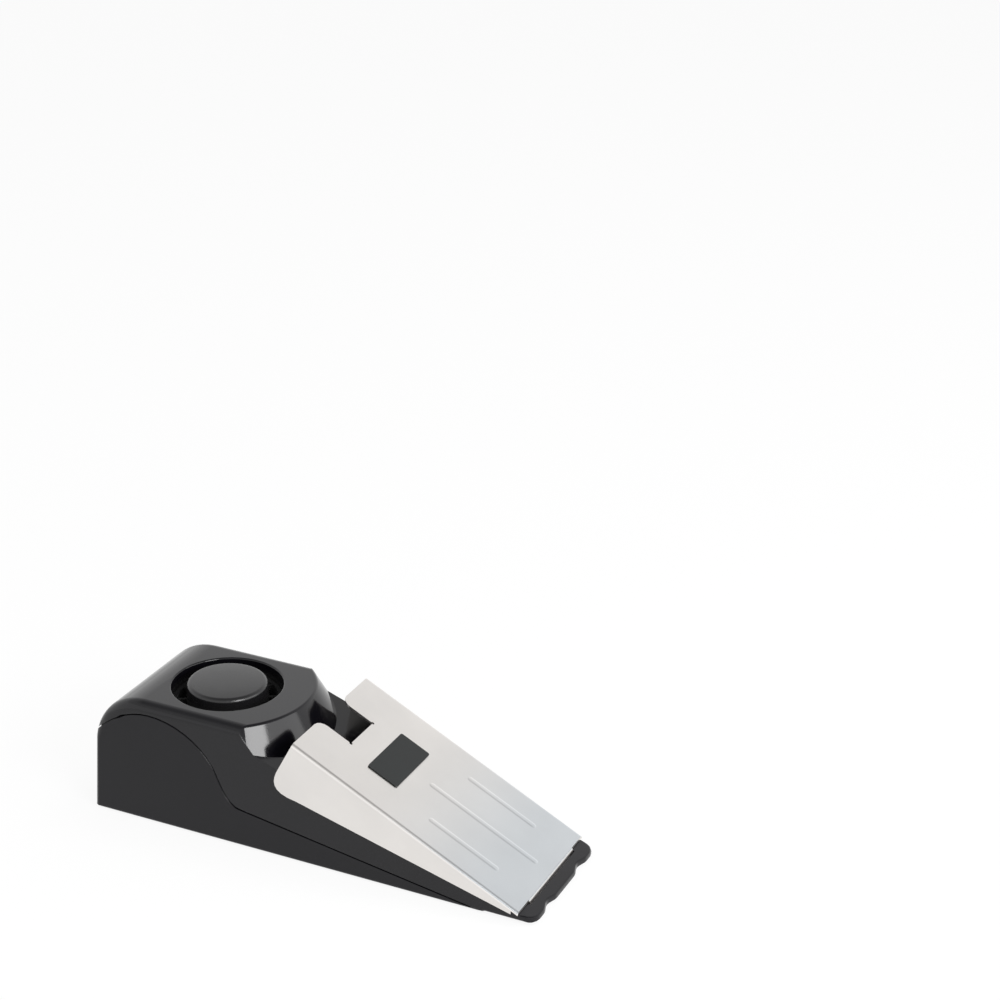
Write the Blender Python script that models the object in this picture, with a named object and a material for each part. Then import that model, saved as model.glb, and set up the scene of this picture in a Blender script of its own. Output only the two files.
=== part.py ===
"""A wedge door stop alarm: a two-shell plastic casing with a siren, and a hinged steel trigger plate.

Metres, +Z up. Places are lengths from the top of the casing's rear face (X), its middle (Y) and its
underside (Z). The battery sets the length and the height: the bay, the board, the siren and the trigger
switch follow it in a chain of named rooms. The empty casing_frame then centres the object over the
surface that its rubber pads stand on.
"""

import math

import bmesh
import bpy
from mathutils import Matrix, Vector

# Fits that several pieces share
FIT_GAP = 0.0003
OVERRUN = 0.0100
ROUND_STEPS = 40
SMALL_STEPS = 16
TINY_STEPS = 10
CORNER_STEPS = 4

# Battery bay and its cover
BATTERY_LENGTH = 0.0485
BATTERY_WIDTH = 0.0265
BATTERY_HEIGHT = 0.0175
BATTERY_EDGE = 0.0020
BATTERY_SIDE_GAP = 0.00035
TERMINAL_SPACING = 0.0127
TERMINAL_REACH = 0.0028
TERMINAL_ROUND_RADIUS = 0.0029
TERMINAL_HEX_RADIUS = 0.0042
HEX_SIDES = 6
SNAP_THICKNESS = 0.0024
SNAP_HALF = 0.0120
SNAP_HEIGHT = 0.0120
BAY_REAR_X = 0.0115
BAY_REAR_ROOM = 0.0065
BAY_FRONT_ROOM = 0.0025
BAY_HEADROOM = 0.0006
BAY_WALL = 0.00125
COVER_THICKNESS = 0.0011
COVER_LIP = 0.0010
COVER_TAB_HALF = 0.0025
COVER_TAB_Y = 0.0080
COVER_TAB_REACH = 0.0022
COVER_TAB_THICKNESS = 0.0008
COVER_TAB_DROP = 0.0002
COVER_LATCH_HALF = 0.0040
COVER_LATCH_HEIGHT = 0.0046
COVER_LATCH_THICKNESS = 0.0010
COVER_GRIP_PITCH = 0.0022
COVER_GRIP_WIDTH = 0.0008
COVER_GRIP_DEPTH = 0.0004
COVER_GRIP_HALF = 0.0060
COVER_GRIPS = 4
SCOOP_LENGTH = 0.0026
SCOOP_HALF = 0.0050
SCOOP_DEPTH = 0.0009
FOAM_PAD_LENGTH = 0.0240
FOAM_PAD_HALF = 0.0080
FOAM_PAD_THICKNESS = 0.0009
BATTERY_X = BAY_REAR_X + BAY_REAR_ROOM
BATTERY_BOTTOM = COVER_THICKNESS + FIT_GAP + FOAM_PAD_THICKNESS + FIT_GAP
BATTERY_TOP = BATTERY_BOTTOM + BATTERY_HEIGHT
BAY_FRONT_X = BATTERY_X + BATTERY_LENGTH + BAY_FRONT_ROOM
BAY_TOP = BATTERY_TOP + BAY_HEADROOM
BAY_HALF = BATTERY_WIDTH / 2 + BATTERY_SIDE_GAP

# Circuit board over the bay, and what it carries
BOARD_REAR_X = 0.0150
BOARD_SETBACK = 0.0020
BOARD_HALF = 0.0183
BOARD_THICKNESS = 0.0016
BOARD_SCREW_INSET = 0.0040
BOARD_SCREW_Y = 0.0160
BOARD_POST_RADIUS = 0.0026
BOARD_SCREW_RADIUS = 0.0009
BOARD_SCREW_HEAD_RADIUS = 0.0018
BOARD_SCREW_HEAD = 0.0012
BOARD_SCREW_LENGTH = 0.0080
PILOT_RADIUS = 0.0013
COIL_INSET = 0.0095
COIL_Y = 0.0085
COIL_RADIUS = 0.0045
COIL_CORE_RADIUS = 0.0022
COIL_FLANGE = 0.0012
COIL_HEIGHT = 0.0075
CHIP_INSET = 0.0090
CHIP_Y = -0.0080
CHIP_LENGTH = 0.0093
CHIP_WIDTH = 0.0064
CHIP_HEIGHT = 0.0033
CAPACITOR_X = 0.0490
CAPACITOR_Y = 0.0145
CAPACITOR_RADIUS = 0.0031
CAPACITOR_HEIGHT = 0.0074
TRANSISTOR_X = 0.0500
TRANSISTOR_Y = -0.0150
TRANSISTOR_RADIUS = 0.0023
TRANSISTOR_HEIGHT = 0.0046
RESISTOR_X = 0.0340
RESISTOR_Y = -0.0130
RESISTOR_PITCH = 0.0032
RESISTOR_LENGTH = 0.0063
RESISTOR_RADIUS = 0.0010
RESISTORS = 4
BOARD_FRONT_X = BAY_FRONT_X - BOARD_SETBACK
BOARD_BOTTOM = BAY_TOP + FIT_GAP
BOARD_TOP = BOARD_BOTTOM + BOARD_THICKNESS
ON_BOARD = BOARD_TOP + FIT_GAP
COIL_X = BOARD_FRONT_X - COIL_INSET
CHIP_X = BOARD_FRONT_X - CHIP_INSET

# Sounder over the board, under the siren's well
SIREN_X = 0.0350
SOUNDER_GAP = FIT_GAP
SOUNDER_ROOM = 0.0028
FOAM_HEIGHT = 0.0009
FOAM_WIDTH = 0.0022
PIEZO_RADIUS = 0.0135
PIEZO_THICKNESS = 0.0003
CERAMIC_RADIUS = 0.0095
CERAMIC_THICKNESS = 0.0003
CUP_WALL = 0.0017
CUP_FLOOR = 0.0012
CUP_CHAMBER = 0.0024
CUP_LEDGE = 0.0017
CUP_EAR_REACH = 0.0210
CUP_EAR_HALF = 0.0026
CUP_EAR_THICKNESS = 0.0016
CUP_SLOT_HALF = 0.0012
SOUNDER_BOSS_RADIUS = 0.0024
SOUNDER_SCREW_RADIUS = 0.0009
SOUNDER_SCREW_HEAD_RADIUS = 0.0018
SOUNDER_SCREW_HEAD = 0.0011
SOUNDER_SCREW_LENGTH = 0.0065
CUP_BOTTOM = BOARD_TOP + SOUNDER_ROOM
CUP_LEDGE_HEIGHT = CUP_BOTTOM + CUP_FLOOR + CUP_CHAMBER
CUP_EAR_BOTTOM = CUP_LEDGE_HEIGHT - CUP_EAR_THICKNESS
CERAMIC_TOP = CUP_LEDGE_HEIGHT
PIEZO_TOP = CUP_LEDGE_HEIGHT + SOUNDER_GAP + PIEZO_THICKNESS
FOAM_TOP = PIEZO_TOP + SOUNDER_GAP + FOAM_HEIGHT
CUP_RECESS_RADIUS = PIEZO_RADIUS + SOUNDER_GAP
CUP_RADIUS = CUP_RECESS_RADIUS + CUP_WALL
CUP_CHAMBER_RADIUS = CUP_RECESS_RADIUS - CUP_LEDGE
SOUNDER_BOSS_BOTTOM = CUP_LEDGE_HEIGHT + SOUNDER_GAP
SIREN = (SIREN_X, 0)
SOUNDER_SCREWS = [(SIREN_X + side * CUP_EAR_REACH, 0) for side in (-1, 1)]

# Siren well and the cap in it
WELL_DEPTH = 0.0101
WELL_RADIUS = 0.0174
WELL_WALL = 0.0015
WELL_LIP_RADIUS = 0.0125
WELL_LIP = 0.0012
WELL_ROUND = 0.0006
CAP_RADIUS = 0.0127
CAP_PROUD = 0.0015
CAP_CROWN = 0.0004
CAP_ROUND = 0.0014
CAP_WALL = 0.0016
GRILLE_RING_WIDTH = 0.0014
GRILLE_RING_HEIGHT = 0.0040
GRILLE_RIBS = 12
GRILLE_RIB_WIDTH = 0.0011
GRILLE_RIB_HEIGHT = 0.0018
WELL_BOTTOM = FOAM_TOP + SOUNDER_GAP

# Casing: the outer form of the two shells
BODY_WIDTH = 0.0460
NOSE_REACH = 0.0510
WALL = 0.0020
FLOOR = 0.0020
EDGE_ROUND = 0.0010
BLOCK_ROUND = 0.0040
BLOCK_ROUND_STEPS = 5
REAR_ROUND_SHARE = 0.45
TOP_ROUND_SHARE = 0.78
FOOT_ROUND_SHARE = 0.25
NOSE_ROUND_SHARE = 0.7
FACING_SHARE = 0.9
CORNER_RADIUS = 0.0018
REAR_LEAN = 0.0015
BACK_ARC_RADIUS = 0.0175
BACK_ARC_STEPS = 12
LIP_HEIGHT = 0.0010
LIP_SETBACK = 0.0240
HALF_WIDTH = BODY_WIDTH / 2
TOP_HEIGHT = WELL_BOTTOM + WELL_DEPTH
CAP_TOP = TOP_HEIGHT + CAP_PROUD

# Raised rear block: its conical front stands round the siren
TURRET_TOP_RADIUS = 0.0278
TURRET_FOOT_RADIUS = 0.0344
TURRET_HEIGHT = 0.0118
TURRET_ROUND = 0.0014
TURRET_ROUND_STEPS = 4
TURRET_STEPS = 52
TURRET_FOOT_HEIGHT = TOP_HEIGHT - TURRET_HEIGHT

# Trigger switch ahead of the bay, with its plunger and springs, and the casing's length past it
LEAF_ROOM = 0.0155
LEAF_BLOCK_LENGTH = 0.0062
LEAF_BLOCK_HALF = 0.0040
LEAF_BLOCK_RISE = 0.0013
LEAF_HALF = 0.0021
LEAF_THICKNESS = 0.0004
LEAF_SPACING = 0.0013
LEAF_UPPER_LENGTH = 0.0175
LEAF_LOWER_LENGTH = 0.0145
LEAF_CONTACT_REACH = 0.0120
LEAF_CONTACT_RADIUS = 0.0009
PLUNGER_REACH = 0.0155
PLUNGER_RADIUS = 0.0022
PLUNGER_RUNNING_GAP = FIT_GAP
PLUNGER_COLLAR_RADIUS = 0.0034
PLUNGER_COLLAR = 0.0010
PLUNGER_NIB_RADIUS = 0.0012
PLUNGER_NIB = 0.0017
GUIDE_WALL = 0.0015
GUIDE_DEPTH = 0.0045
SPRING_SETBACK = 0.0080
SPRING_Y = 0.0120
SPRING_RADIUS = 0.0032
SPRING_WIRE_RADIUS = 0.0003
SPRING_TURNS = 6
SPRING_POINTS = 9
SPRING_SEAT_DEPTH = 0.0033
SPRING_SEAT_WALL = 0.0011
SPRING_SIDE_GAP = 0.0008
LEAF_PIVOT_X = BAY_FRONT_X + LEAF_ROOM
LEAF_CONTACT_X = LEAF_PIVOT_X + LEAF_CONTACT_REACH
PLUNGER_X = LEAF_PIVOT_X + PLUNGER_REACH
SPRING_X = PLUNGER_X - SPRING_SETBACK
BODY_LENGTH = PLUNGER_X + NOSE_REACH

# Ramp and nose
WEDGE_REAR_X = 0.0574
WEDGE_STEP = 0.0079
NOSE_LENGTH = 0.0050
WEDGE_FRONT_HEIGHT = 0.0026
NOSE_TIP_HEIGHT = 0.0020
NOSE_LIFT = 0.0004
NOSE_LIFT_RUN = 0.0010
NOSE_CORNER_RADIUS = 0.0042
NOSE_DIP = 0.0011
NOSE_MIDDLE_HALF = 0.0065
NOSE_OUTER_FROM = 0.0160
NOSE_DIP_STEPS = 8
NOSE_SOLID_LENGTH = 0.0210
WEDGE_REAR_HEIGHT = TOP_HEIGHT - WEDGE_STEP
WEDGE_FRONT_X = BODY_LENGTH - NOSE_LENGTH

# Parting line of the two shells; each curve's handles are shares of its own run and rise
PARTING_REAR_HEIGHT = 0.0268
PARTING_CREST_X = 0.0205
PARTING_CREST_DROP = 0.0040
PARTING_WAIST_X = 0.0424
PARTING_WAIST_HEIGHT = 0.0254
PARTING_KNEE_X = 0.0525
PARTING_KNEE_HEIGHT = 0.0125
PARTING_REAR_SHARES = ((0.30, 0.60), (0.62, 1.00))
PARTING_CREST_SHARES = ((0.40, 0.00), (0.80, 0.40))
PARTING_WAIST_SHARES = ((0.27, 0.34), (0.42, 0.95))
PARTING_STEPS = 8
LOWER_FRONT_SETBACK = 0.0170
PARTING_CREST_HEIGHT = TOP_HEIGHT - PARTING_CREST_DROP
LOWER_FRONT_X = BODY_LENGTH - LOWER_FRONT_SETBACK
LIP_FRONT_X = LOWER_FRONT_X - LIP_SETBACK

# Trigger plate: its top face is a straight line in side view
PLATE_THICKNESS = 0.0007
PLATE_REAR_X = 0.0715
PLATE_RISE = 0.0076
PLATE_FRONT_HEIGHT = 0.00375
PLATE_BEND_RADIUS = 0.0012
PLATE_SIDE_GAP = FIT_GAP
FLANGE_HEEL_X = 0.0667
FLANGE_HEEL_DROP = 0.0095
FLANGE_TOE_X = 0.0725
FLANGE_TOE_DROP = 0.0192
FLANGE_CORNER_SHARES = ((-0.42, 0.45), (-0.54, 0.88))
FLANGE_STEPS = 8
FLANGE_FRONT_HEIGHT = 0.0028
FLANGE_FRONT_SETBACK = 0.0022
NOTCH_HALF = 0.0070
NOTCH_LENGTH = 0.0108
NOTCH_RELIEF = 0.0005
TAB_RADIUS = 0.0030
TONGUE_HALF = 0.0160
TONGUE_REACH = 0.0004
TONGUE_FOOT_LENGTH = 0.0022
TONGUE_FOOT_HEIGHT = 0.00055
TONGUE_BEND = 0.0004
HINGE_SLOT_GAP = 0.0004
HINGE_LEDGE = 0.00155
HINGE_HEIGHT = 0.0020
LABEL_REACH = 0.0185
LABEL_LENGTH = 0.0098
LABEL_HALF = 0.0110
LABEL_CORNER = 0.0007
LABEL_THICKNESS = 0.0003
LABEL_GLUE = 0.0001
BEAD_HALF = 0.0020
BEAD_HEIGHT = 0.0002
BEAD_SINK = 0.0001
BEAD_STEPS = 4
SIDE_BEAD_Y = 0.0134
SIDE_BEAD_ROOM = 0.0112
SIDE_BEAD_SETBACK = 0.0102
MIDDLE_BEAD_ROOM = 0.0048
MIDDLE_BEAD_SETBACK = 0.0035
PLATE_REAR_HEIGHT = WEDGE_REAR_HEIGHT + PLATE_RISE
FLANGE_HEEL_HEIGHT = PLATE_REAR_HEIGHT - FLANGE_HEEL_DROP
FLANGE_TOE_HEIGHT = PLATE_REAR_HEIGHT - FLANGE_TOE_DROP
LABEL_FROM = PLATE_REAR_X + LABEL_REACH
LABEL_TO = LABEL_FROM + LABEL_LENGTH
SIDE_BEAD_FROM = LABEL_TO + SIDE_BEAD_ROOM
SIDE_BEAD_TO = WEDGE_FRONT_X - SIDE_BEAD_SETBACK
MIDDLE_BEAD_FROM = LABEL_TO + MIDDLE_BEAD_ROOM
MIDDLE_BEAD_TO = WEDGE_FRONT_X - MIDDLE_BEAD_SETBACK

# Slide switch behind the rear wall
SWITCH_HEIGHT = 0.0140
SWITCH_HALF = 0.0043
SWITCH_DEPTH = 0.0040
SWITCH_TALL = 0.0040
SWITCH_MOUTH = 0.0012
SWITCH_GUIDE = 0.0012
KNOB_WIDTH = 0.0022
KNOB_TALL = 0.0016
KNOB_TRAVEL = 0.0030
KNOB_SINK = 0.0003
DISH_HALF = 0.0052
DISH_TALL = 0.0056
DISH_DEPTH = 0.0012

# Casing screws
SCREW_REAR_X = 0.0062
SCREW_FRONT_ROOM = 0.0090
SCREW_SIDE_INSET = 0.0056
SCREW_POST_RADIUS = 0.0033
SCREW_BOSS_RADIUS = 0.0028
SCREW_JOIN_HEIGHT = 0.0098
SCREW_RADIUS = 0.0010
SCREW_HEAD_RADIUS = 0.0020
SCREW_HEAD = 0.0013
SCREW_SEAT = 0.0030
SCREW_LENGTH = 0.0140
SCREW_FRONT_X = BAY_FRONT_X + SCREW_FRONT_ROOM

# Rubber pads under the casing
PAD_PROUD = 0.0006
PAD_SINK = 0.0009
PAD_FRONT_ROOM = 0.0060
PAD_FRONT_SETBACK = 0.0160
PAD_FRONT_HALF = 0.0185
PAD_CORNER = 0.0030
STRIP_FROM = 0.0130
STRIP_ROOM = 0.0080
STRIP_INNER = 0.0160
STRIP_OUTER = 0.0213
STRIP_CORNER = 0.0020
PAD_FRONT_FROM = SCREW_FRONT_X + PAD_FRONT_ROOM
PAD_FRONT_TO = LOWER_FRONT_X - PAD_FRONT_SETBACK
STRIP_TO = SCREW_FRONT_X - STRIP_ROOM

# Leads: each route is a list of points chosen by hand
LEAD_RADIUS = 0.0005
LEAD_STEPS = 3
BATTERY_LEAD_Y = 0.0060
POWER_LEAD_Y = 0.0030
TRIGGER_LEAD_Y = 0.0025
PIEZO_LEAD_X = 0.0300
DISC_LEAD_X = 0.0244

# Colours, each with its roughness and metallic value
BLACK_PLASTIC = ((0.020, 0.020, 0.023, 1), 0.35, 0.0)
LOWER_PLASTIC = ((0.017, 0.017, 0.019, 1), 0.38, 0.0)
STEEL_SHEET = ((0.72, 0.71, 0.70, 1), 0.38, 1.0)
LABEL_BLACK = ((0.010, 0.010, 0.011, 1), 0.45, 0.0)
SCREW_STEEL = ((0.55, 0.55, 0.56, 1), 0.30, 1.0)
BRASS = ((0.72, 0.52, 0.20, 1), 0.30, 1.0)
CERAMIC_WHITE = ((0.80, 0.79, 0.74, 1), 0.50, 0.0)
FOAM_GREY = ((0.10, 0.10, 0.11, 1), 0.95, 0.0)
RUBBER_BLACK = ((0.015, 0.015, 0.016, 1), 0.80, 0.0)
BOARD_GREEN = ((0.02, 0.16, 0.06, 1), 0.45, 0.0)
FERRITE = ((0.05, 0.05, 0.055, 1), 0.60, 0.0)
COPPER = ((0.62, 0.24, 0.10, 1), 0.30, 1.0)
EPOXY_BLACK = ((0.012, 0.012, 0.012, 1), 0.50, 0.0)
SLEEVE_BLUE = ((0.03, 0.05, 0.20, 1), 0.40, 0.0)
RESISTOR_TAN = ((0.62, 0.47, 0.30, 1), 0.50, 0.0)
SPRING_STEEL = ((0.66, 0.66, 0.67, 1), 0.25, 1.0)
BATTERY_WRAP = ((0.10, 0.10, 0.11, 1), 0.35, 0.3)
LEAD_RED = ((0.55, 0.02, 0.02, 1), 0.45, 0.0)
LEAD_BLACK = ((0.012, 0.012, 0.012, 1), 0.45, 0.0)
KNOB_BLACK = ((0.030, 0.030, 0.032, 1), 0.45, 0.0)

for old in list(bpy.data.objects):
    bpy.data.objects.remove(old, do_unlink=True)

casing_frame = bpy.data.objects.new("casing_frame", None)
casing_frame.location = ((REAR_LEAN - BODY_LENGTH) / 2, 0, PAD_PROUD)
bpy.context.scene.collection.objects.link(casing_frame)


def finish(name, look):
    """A Principled material from a colour, a roughness and a metallic value."""
    colour, roughness, metallic = look
    material = bpy.data.materials.new(name)
    material.use_nodes = True
    shader = material.node_tree.nodes["Principled BSDF"]
    shader.inputs["Base Color"].default_value = colour
    shader.inputs["Roughness"].default_value = roughness
    shader.inputs["Metallic"].default_value = metallic
    return material


def solid(name, bm, look=None, pivot=None):
    """An object in the casing's frame; a moving one has its origin on its joint's axis."""
    bmesh.ops.remove_doubles(bm, verts=bm.verts, dist=FIT_GAP / 100)
    bmesh.ops.recalc_face_normals(bm, faces=bm.faces)
    mesh = bpy.data.meshes.new(name)
    bm.to_mesh(mesh)
    bm.free()
    obj = bpy.data.objects.new(name, mesh)
    bpy.context.scene.collection.objects.link(obj)
    obj.parent = casing_frame
    if pivot is not None:
        mesh.transform(Matrix.Translation(-Vector(pivot)))
        obj.location = pivot
    if look is None:
        obj.hide_render = True
        obj.display_type = "WIRE"
    else:
        mesh.materials.append(finish(name, look))
        mesh.shade_smooth()
        mesh.set_sharp_from_angle(angle=math.radians(35))
    return obj


def boolean(target, operation, tool):
    modifier = target.modifiers.new(operation.lower(), "BOOLEAN")
    modifier.operation = operation
    modifier.solver = "EXACT"
    modifier.object = tool


def arc(centre, radius, start, end, steps):
    """Points along an arc between two angles in degrees."""
    turns = [math.radians(start + (end - start) * i / steps) for i in range(steps + 1)]
    return [(centre[0] + radius * math.cos(t), centre[1] + radius * math.sin(t)) for t in turns]


def bezier(start, shares, end, steps):
    """Points along a curve from start, without it, to end; the handles are shares of the way there."""
    run, rise = end[0] - start[0], end[1] - start[1]
    handles = [(start[0] + u * run, start[1] + v * rise) for u, v in shares]
    knots = [start, *handles, end]
    points = []
    for i in range(1, steps + 1):
        t = i / steps
        weights = ((1 - t) ** 3, 3 * t * (1 - t) ** 2, 3 * t * t * (1 - t), t**3)
        points.append(tuple(sum(w * k[n] for w, k in zip(weights, knots)) for n in (0, 1)))
    return points


def rectangle(low_u, high_u, low_v, high_v):
    return [(low_u, low_v), (high_u, low_v), (high_u, high_v), (low_u, high_v)]


def rounded(low_u, high_u, low_v, high_v, radius):
    """A rectangle with round corners."""
    centres = (
        ((high_u - radius, low_v + radius), -90),
        ((high_u - radius, high_v - radius), 0),
        ((low_u + radius, high_v - radius), 90),
        ((low_u + radius, low_v + radius), 180),
    )
    quarters = [arc(centre, radius, start, start + 90, CORNER_STEPS) for centre, start in centres]
    return [point for quarter in quarters for point in quarter]


def place(plane, u, v, w):
    """A point of an outline drawn in plane XY, XZ or YZ, at level w of the third axis."""
    return {"XY": (u, v, w), "XZ": (u, w, v), "YZ": (w, u, v)}[plane]


def add_prism(bm, outline, plane, low, high):
    """An outline extruded straight from one level to another."""
    face = bm.faces.new([bm.verts.new(place(plane, u, v, low)) for u, v in outline])
    grown = bmesh.ops.extrude_face_region(bm, geom=[face])["geom"]
    far_side = [item for item in grown if isinstance(item, bmesh.types.BMVert)]
    bmesh.ops.translate(bm, vec=Vector(place(plane, 0, 0, high - low)), verts=far_side)
    return far_side


def add_turned(bm, profile, centre, steps):
    """Points (radius, height) turned about a vertical axis; a profile off the axis closes on itself."""
    verts = [bm.verts.new((centre[0] + r, centre[1], z)) for r, z in profile]
    ring = verts if min(profile[0][0], profile[-1][0]) == 0 else verts + verts[:1]
    edges = [bm.edges.new(pair) for pair in zip(ring, ring[1:])]
    middle = (centre[0], centre[1], 0)
    bmesh.ops.spin(
        bm, geom=verts + edges, cent=middle, axis=(0, 0, 1), angle=2 * math.pi, steps=steps, use_merge=True
    )


def add_cylinder(bm, centre, radius, low, high, steps):
    add_turned(bm, [(0, low), (radius, low), (radius, high), (0, high)], centre, steps)


def add_ring(bm, centre, inner, outer, low, high, steps):
    add_turned(bm, [(inner, low), (outer, low), (outer, high), (inner, high)], centre, steps)


def add_screw(bm, centre, seat, head, shank, steps):
    """A screw driven upwards: head (radius, height) under its seat, shank (radius, length) above."""
    profile = [
        (0, seat - head[1]),
        (head[0], seat - head[1]),
        (head[0], seat),
        (shank[0], seat),
        (shank[0], seat + shank[1] - shank[0]),
        (0, seat + shank[1]),
    ]
    add_turned(bm, profile, centre, steps)


def smooth_route(points):
    """Points read from a smooth curve through a route's own points."""
    ends = [points[0], *points, points[-1]]
    route = [Vector(points[0])]
    for before, start, end, after in zip(ends, ends[1:], ends[2:], ends[3:]):
        before, start, end, after = Vector(before), Vector(start), Vector(end), Vector(after)
        lean_out, lean_in = (end - before) / 2, (after - start) / 2
        for i in range(1, LEAD_STEPS + 1):
            t = i / LEAD_STEPS
            route.append(
                (2 * t**3 - 3 * t**2 + 1) * start
                + (t**3 - 2 * t**2 + t) * lean_out
                + (3 * t**2 - 2 * t**3) * end
                + (t**3 - t**2) * lean_in
            )
    return route


def tube(name, points, radius, look, pivot=None):
    """A round wire along points, as a filled curve."""
    base = Vector(pivot) if pivot is not None else Vector((0, 0, 0))
    curve = bpy.data.curves.new(name, "CURVE")
    curve.dimensions = "3D"
    curve.bevel_depth = radius
    curve.bevel_resolution = 1
    curve.use_fill_caps = True
    spline = curve.splines.new("POLY")
    spline.points.add(len(points) - 1)
    for knot, point in zip(spline.points, points):
        knot.co = (*(Vector(point) - base), 1)
    curve.materials.append(finish(name, look))
    obj = bpy.data.objects.new(name, curve)
    bpy.context.scene.collection.objects.link(obj)
    obj.parent = casing_frame
    obj.location = base
    return obj


# The casing's outer form, which the shells, their hollow and their inner posts are all cut from
WEDGE_FALL = (WEDGE_REAR_HEIGHT - WEDGE_FRONT_HEIGHT) / (WEDGE_FRONT_X - WEDGE_REAR_X)
WEDGE_STRETCH = math.hypot(1, WEDGE_FALL)
CONE_FLARE = (TURRET_FOOT_RADIUS - TURRET_TOP_RADIUS) / (TOP_HEIGHT - TURRET_FOOT_HEIGHT)
CONE_STRETCH = math.hypot(1, CONE_FLARE)
BACK_ARC_HEIGHT = TOP_HEIGHT - BACK_ARC_RADIUS


def wedge_height(x):
    return WEDGE_REAR_HEIGHT - WEDGE_FALL * (x - WEDGE_REAR_X)


def cone_radius(z):
    return TURRET_TOP_RADIUS + CONE_FLARE * (TOP_HEIGHT - z)


def nose_outline():
    """The front of the casing seen from above: three low bumps between round corners."""
    corner_y = HALF_WIDTH - NOSE_CORNER_RADIUS
    corner = (BODY_LENGTH - NOSE_CORNER_RADIUS, -corner_y)
    near_side = arc(corner, NOSE_CORNER_RADIUS, -90, 0, CORNER_STEPS)
    span = NOSE_OUTER_FROM - NOSE_MIDDLE_HALF
    for i in range(NOSE_DIP_STEPS + 1):
        share = i / NOSE_DIP_STEPS
        depth = NOSE_DIP * (1 - math.cos(2 * math.pi * share)) / 2
        near_side.append((BODY_LENGTH - depth, -NOSE_OUTER_FROM + span * share))
    return near_side + [(x, -y) for x, y in reversed(near_side)]


def turret_profile(high):
    """The turret's outline (radius, height) from its foot over the round of its top edge."""
    lean = math.atan(CONE_FLARE)
    middle = TURRET_TOP_RADIUS + CONE_FLARE * TURRET_ROUND - TURRET_ROUND / math.cos(lean)
    foot = TURRET_FOOT_HEIGHT - OVERRUN
    centre = (middle, TOP_HEIGHT - TURRET_ROUND)
    profile = [(cone_radius(foot), foot)]
    profile += arc(centre, TURRET_ROUND, math.degrees(lean), 90, TURRET_ROUND_STEPS)[:-1]
    before, last = profile[-2:]
    rise = TOP_HEIGHT + TURRET_ROUND / 4
    inward = (last[0] - before[0]) / (last[1] - before[1]) * (rise - last[1])
    profile += [(last[0] + inward, rise), (last[0] + inward, high)]
    return profile


def round_share(edge):
    """How much of the block's widest round an edge of its side outline takes."""
    across = [face.normal for face in edge.link_faces if abs(face.normal.y) < FACING_SHARE]
    down = min(normal.z for normal in across) < -FACING_SHARE
    if len(across) == 2:
        return FOOT_ROUND_SHARE if down and min(normal.x for normal in across) < -FACING_SHARE else 0
    if across[0].x > FACING_SHARE:
        return 0
    if down:
        return FOOT_ROUND_SHARE
    turned = math.atan2(across[0].z, -across[0].x) / math.radians(90)
    if turned < 0.5:
        return REAR_ROUND_SHARE + (1 - REAR_ROUND_SHARE) * 2 * turned
    return TOP_ROUND_SHARE + (1 - TOP_ROUND_SHARE) * (2 - 2 * min(turned, 1))


def nose_share(edge):
    """How much of the edge round an edge around the top of the nose takes."""
    if min(vert.co.x for vert in edge.verts) < WEDGE_FRONT_X or edge.calc_face_angle(0) < math.radians(50):
        return 0
    return NOSE_ROUND_SHARE if max(face.normal.z for face in edge.link_faces) > FACING_SHARE else 0


def add_round(form, width, steps):
    """Rounds a form's edges by their weights."""
    rounding = form.modifiers.new("rounding", "BEVEL")
    rounding.width = width
    rounding.segments = steps
    rounding.limit_method = "WEIGHT"
    rounding.use_clamp_overlap = False


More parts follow.
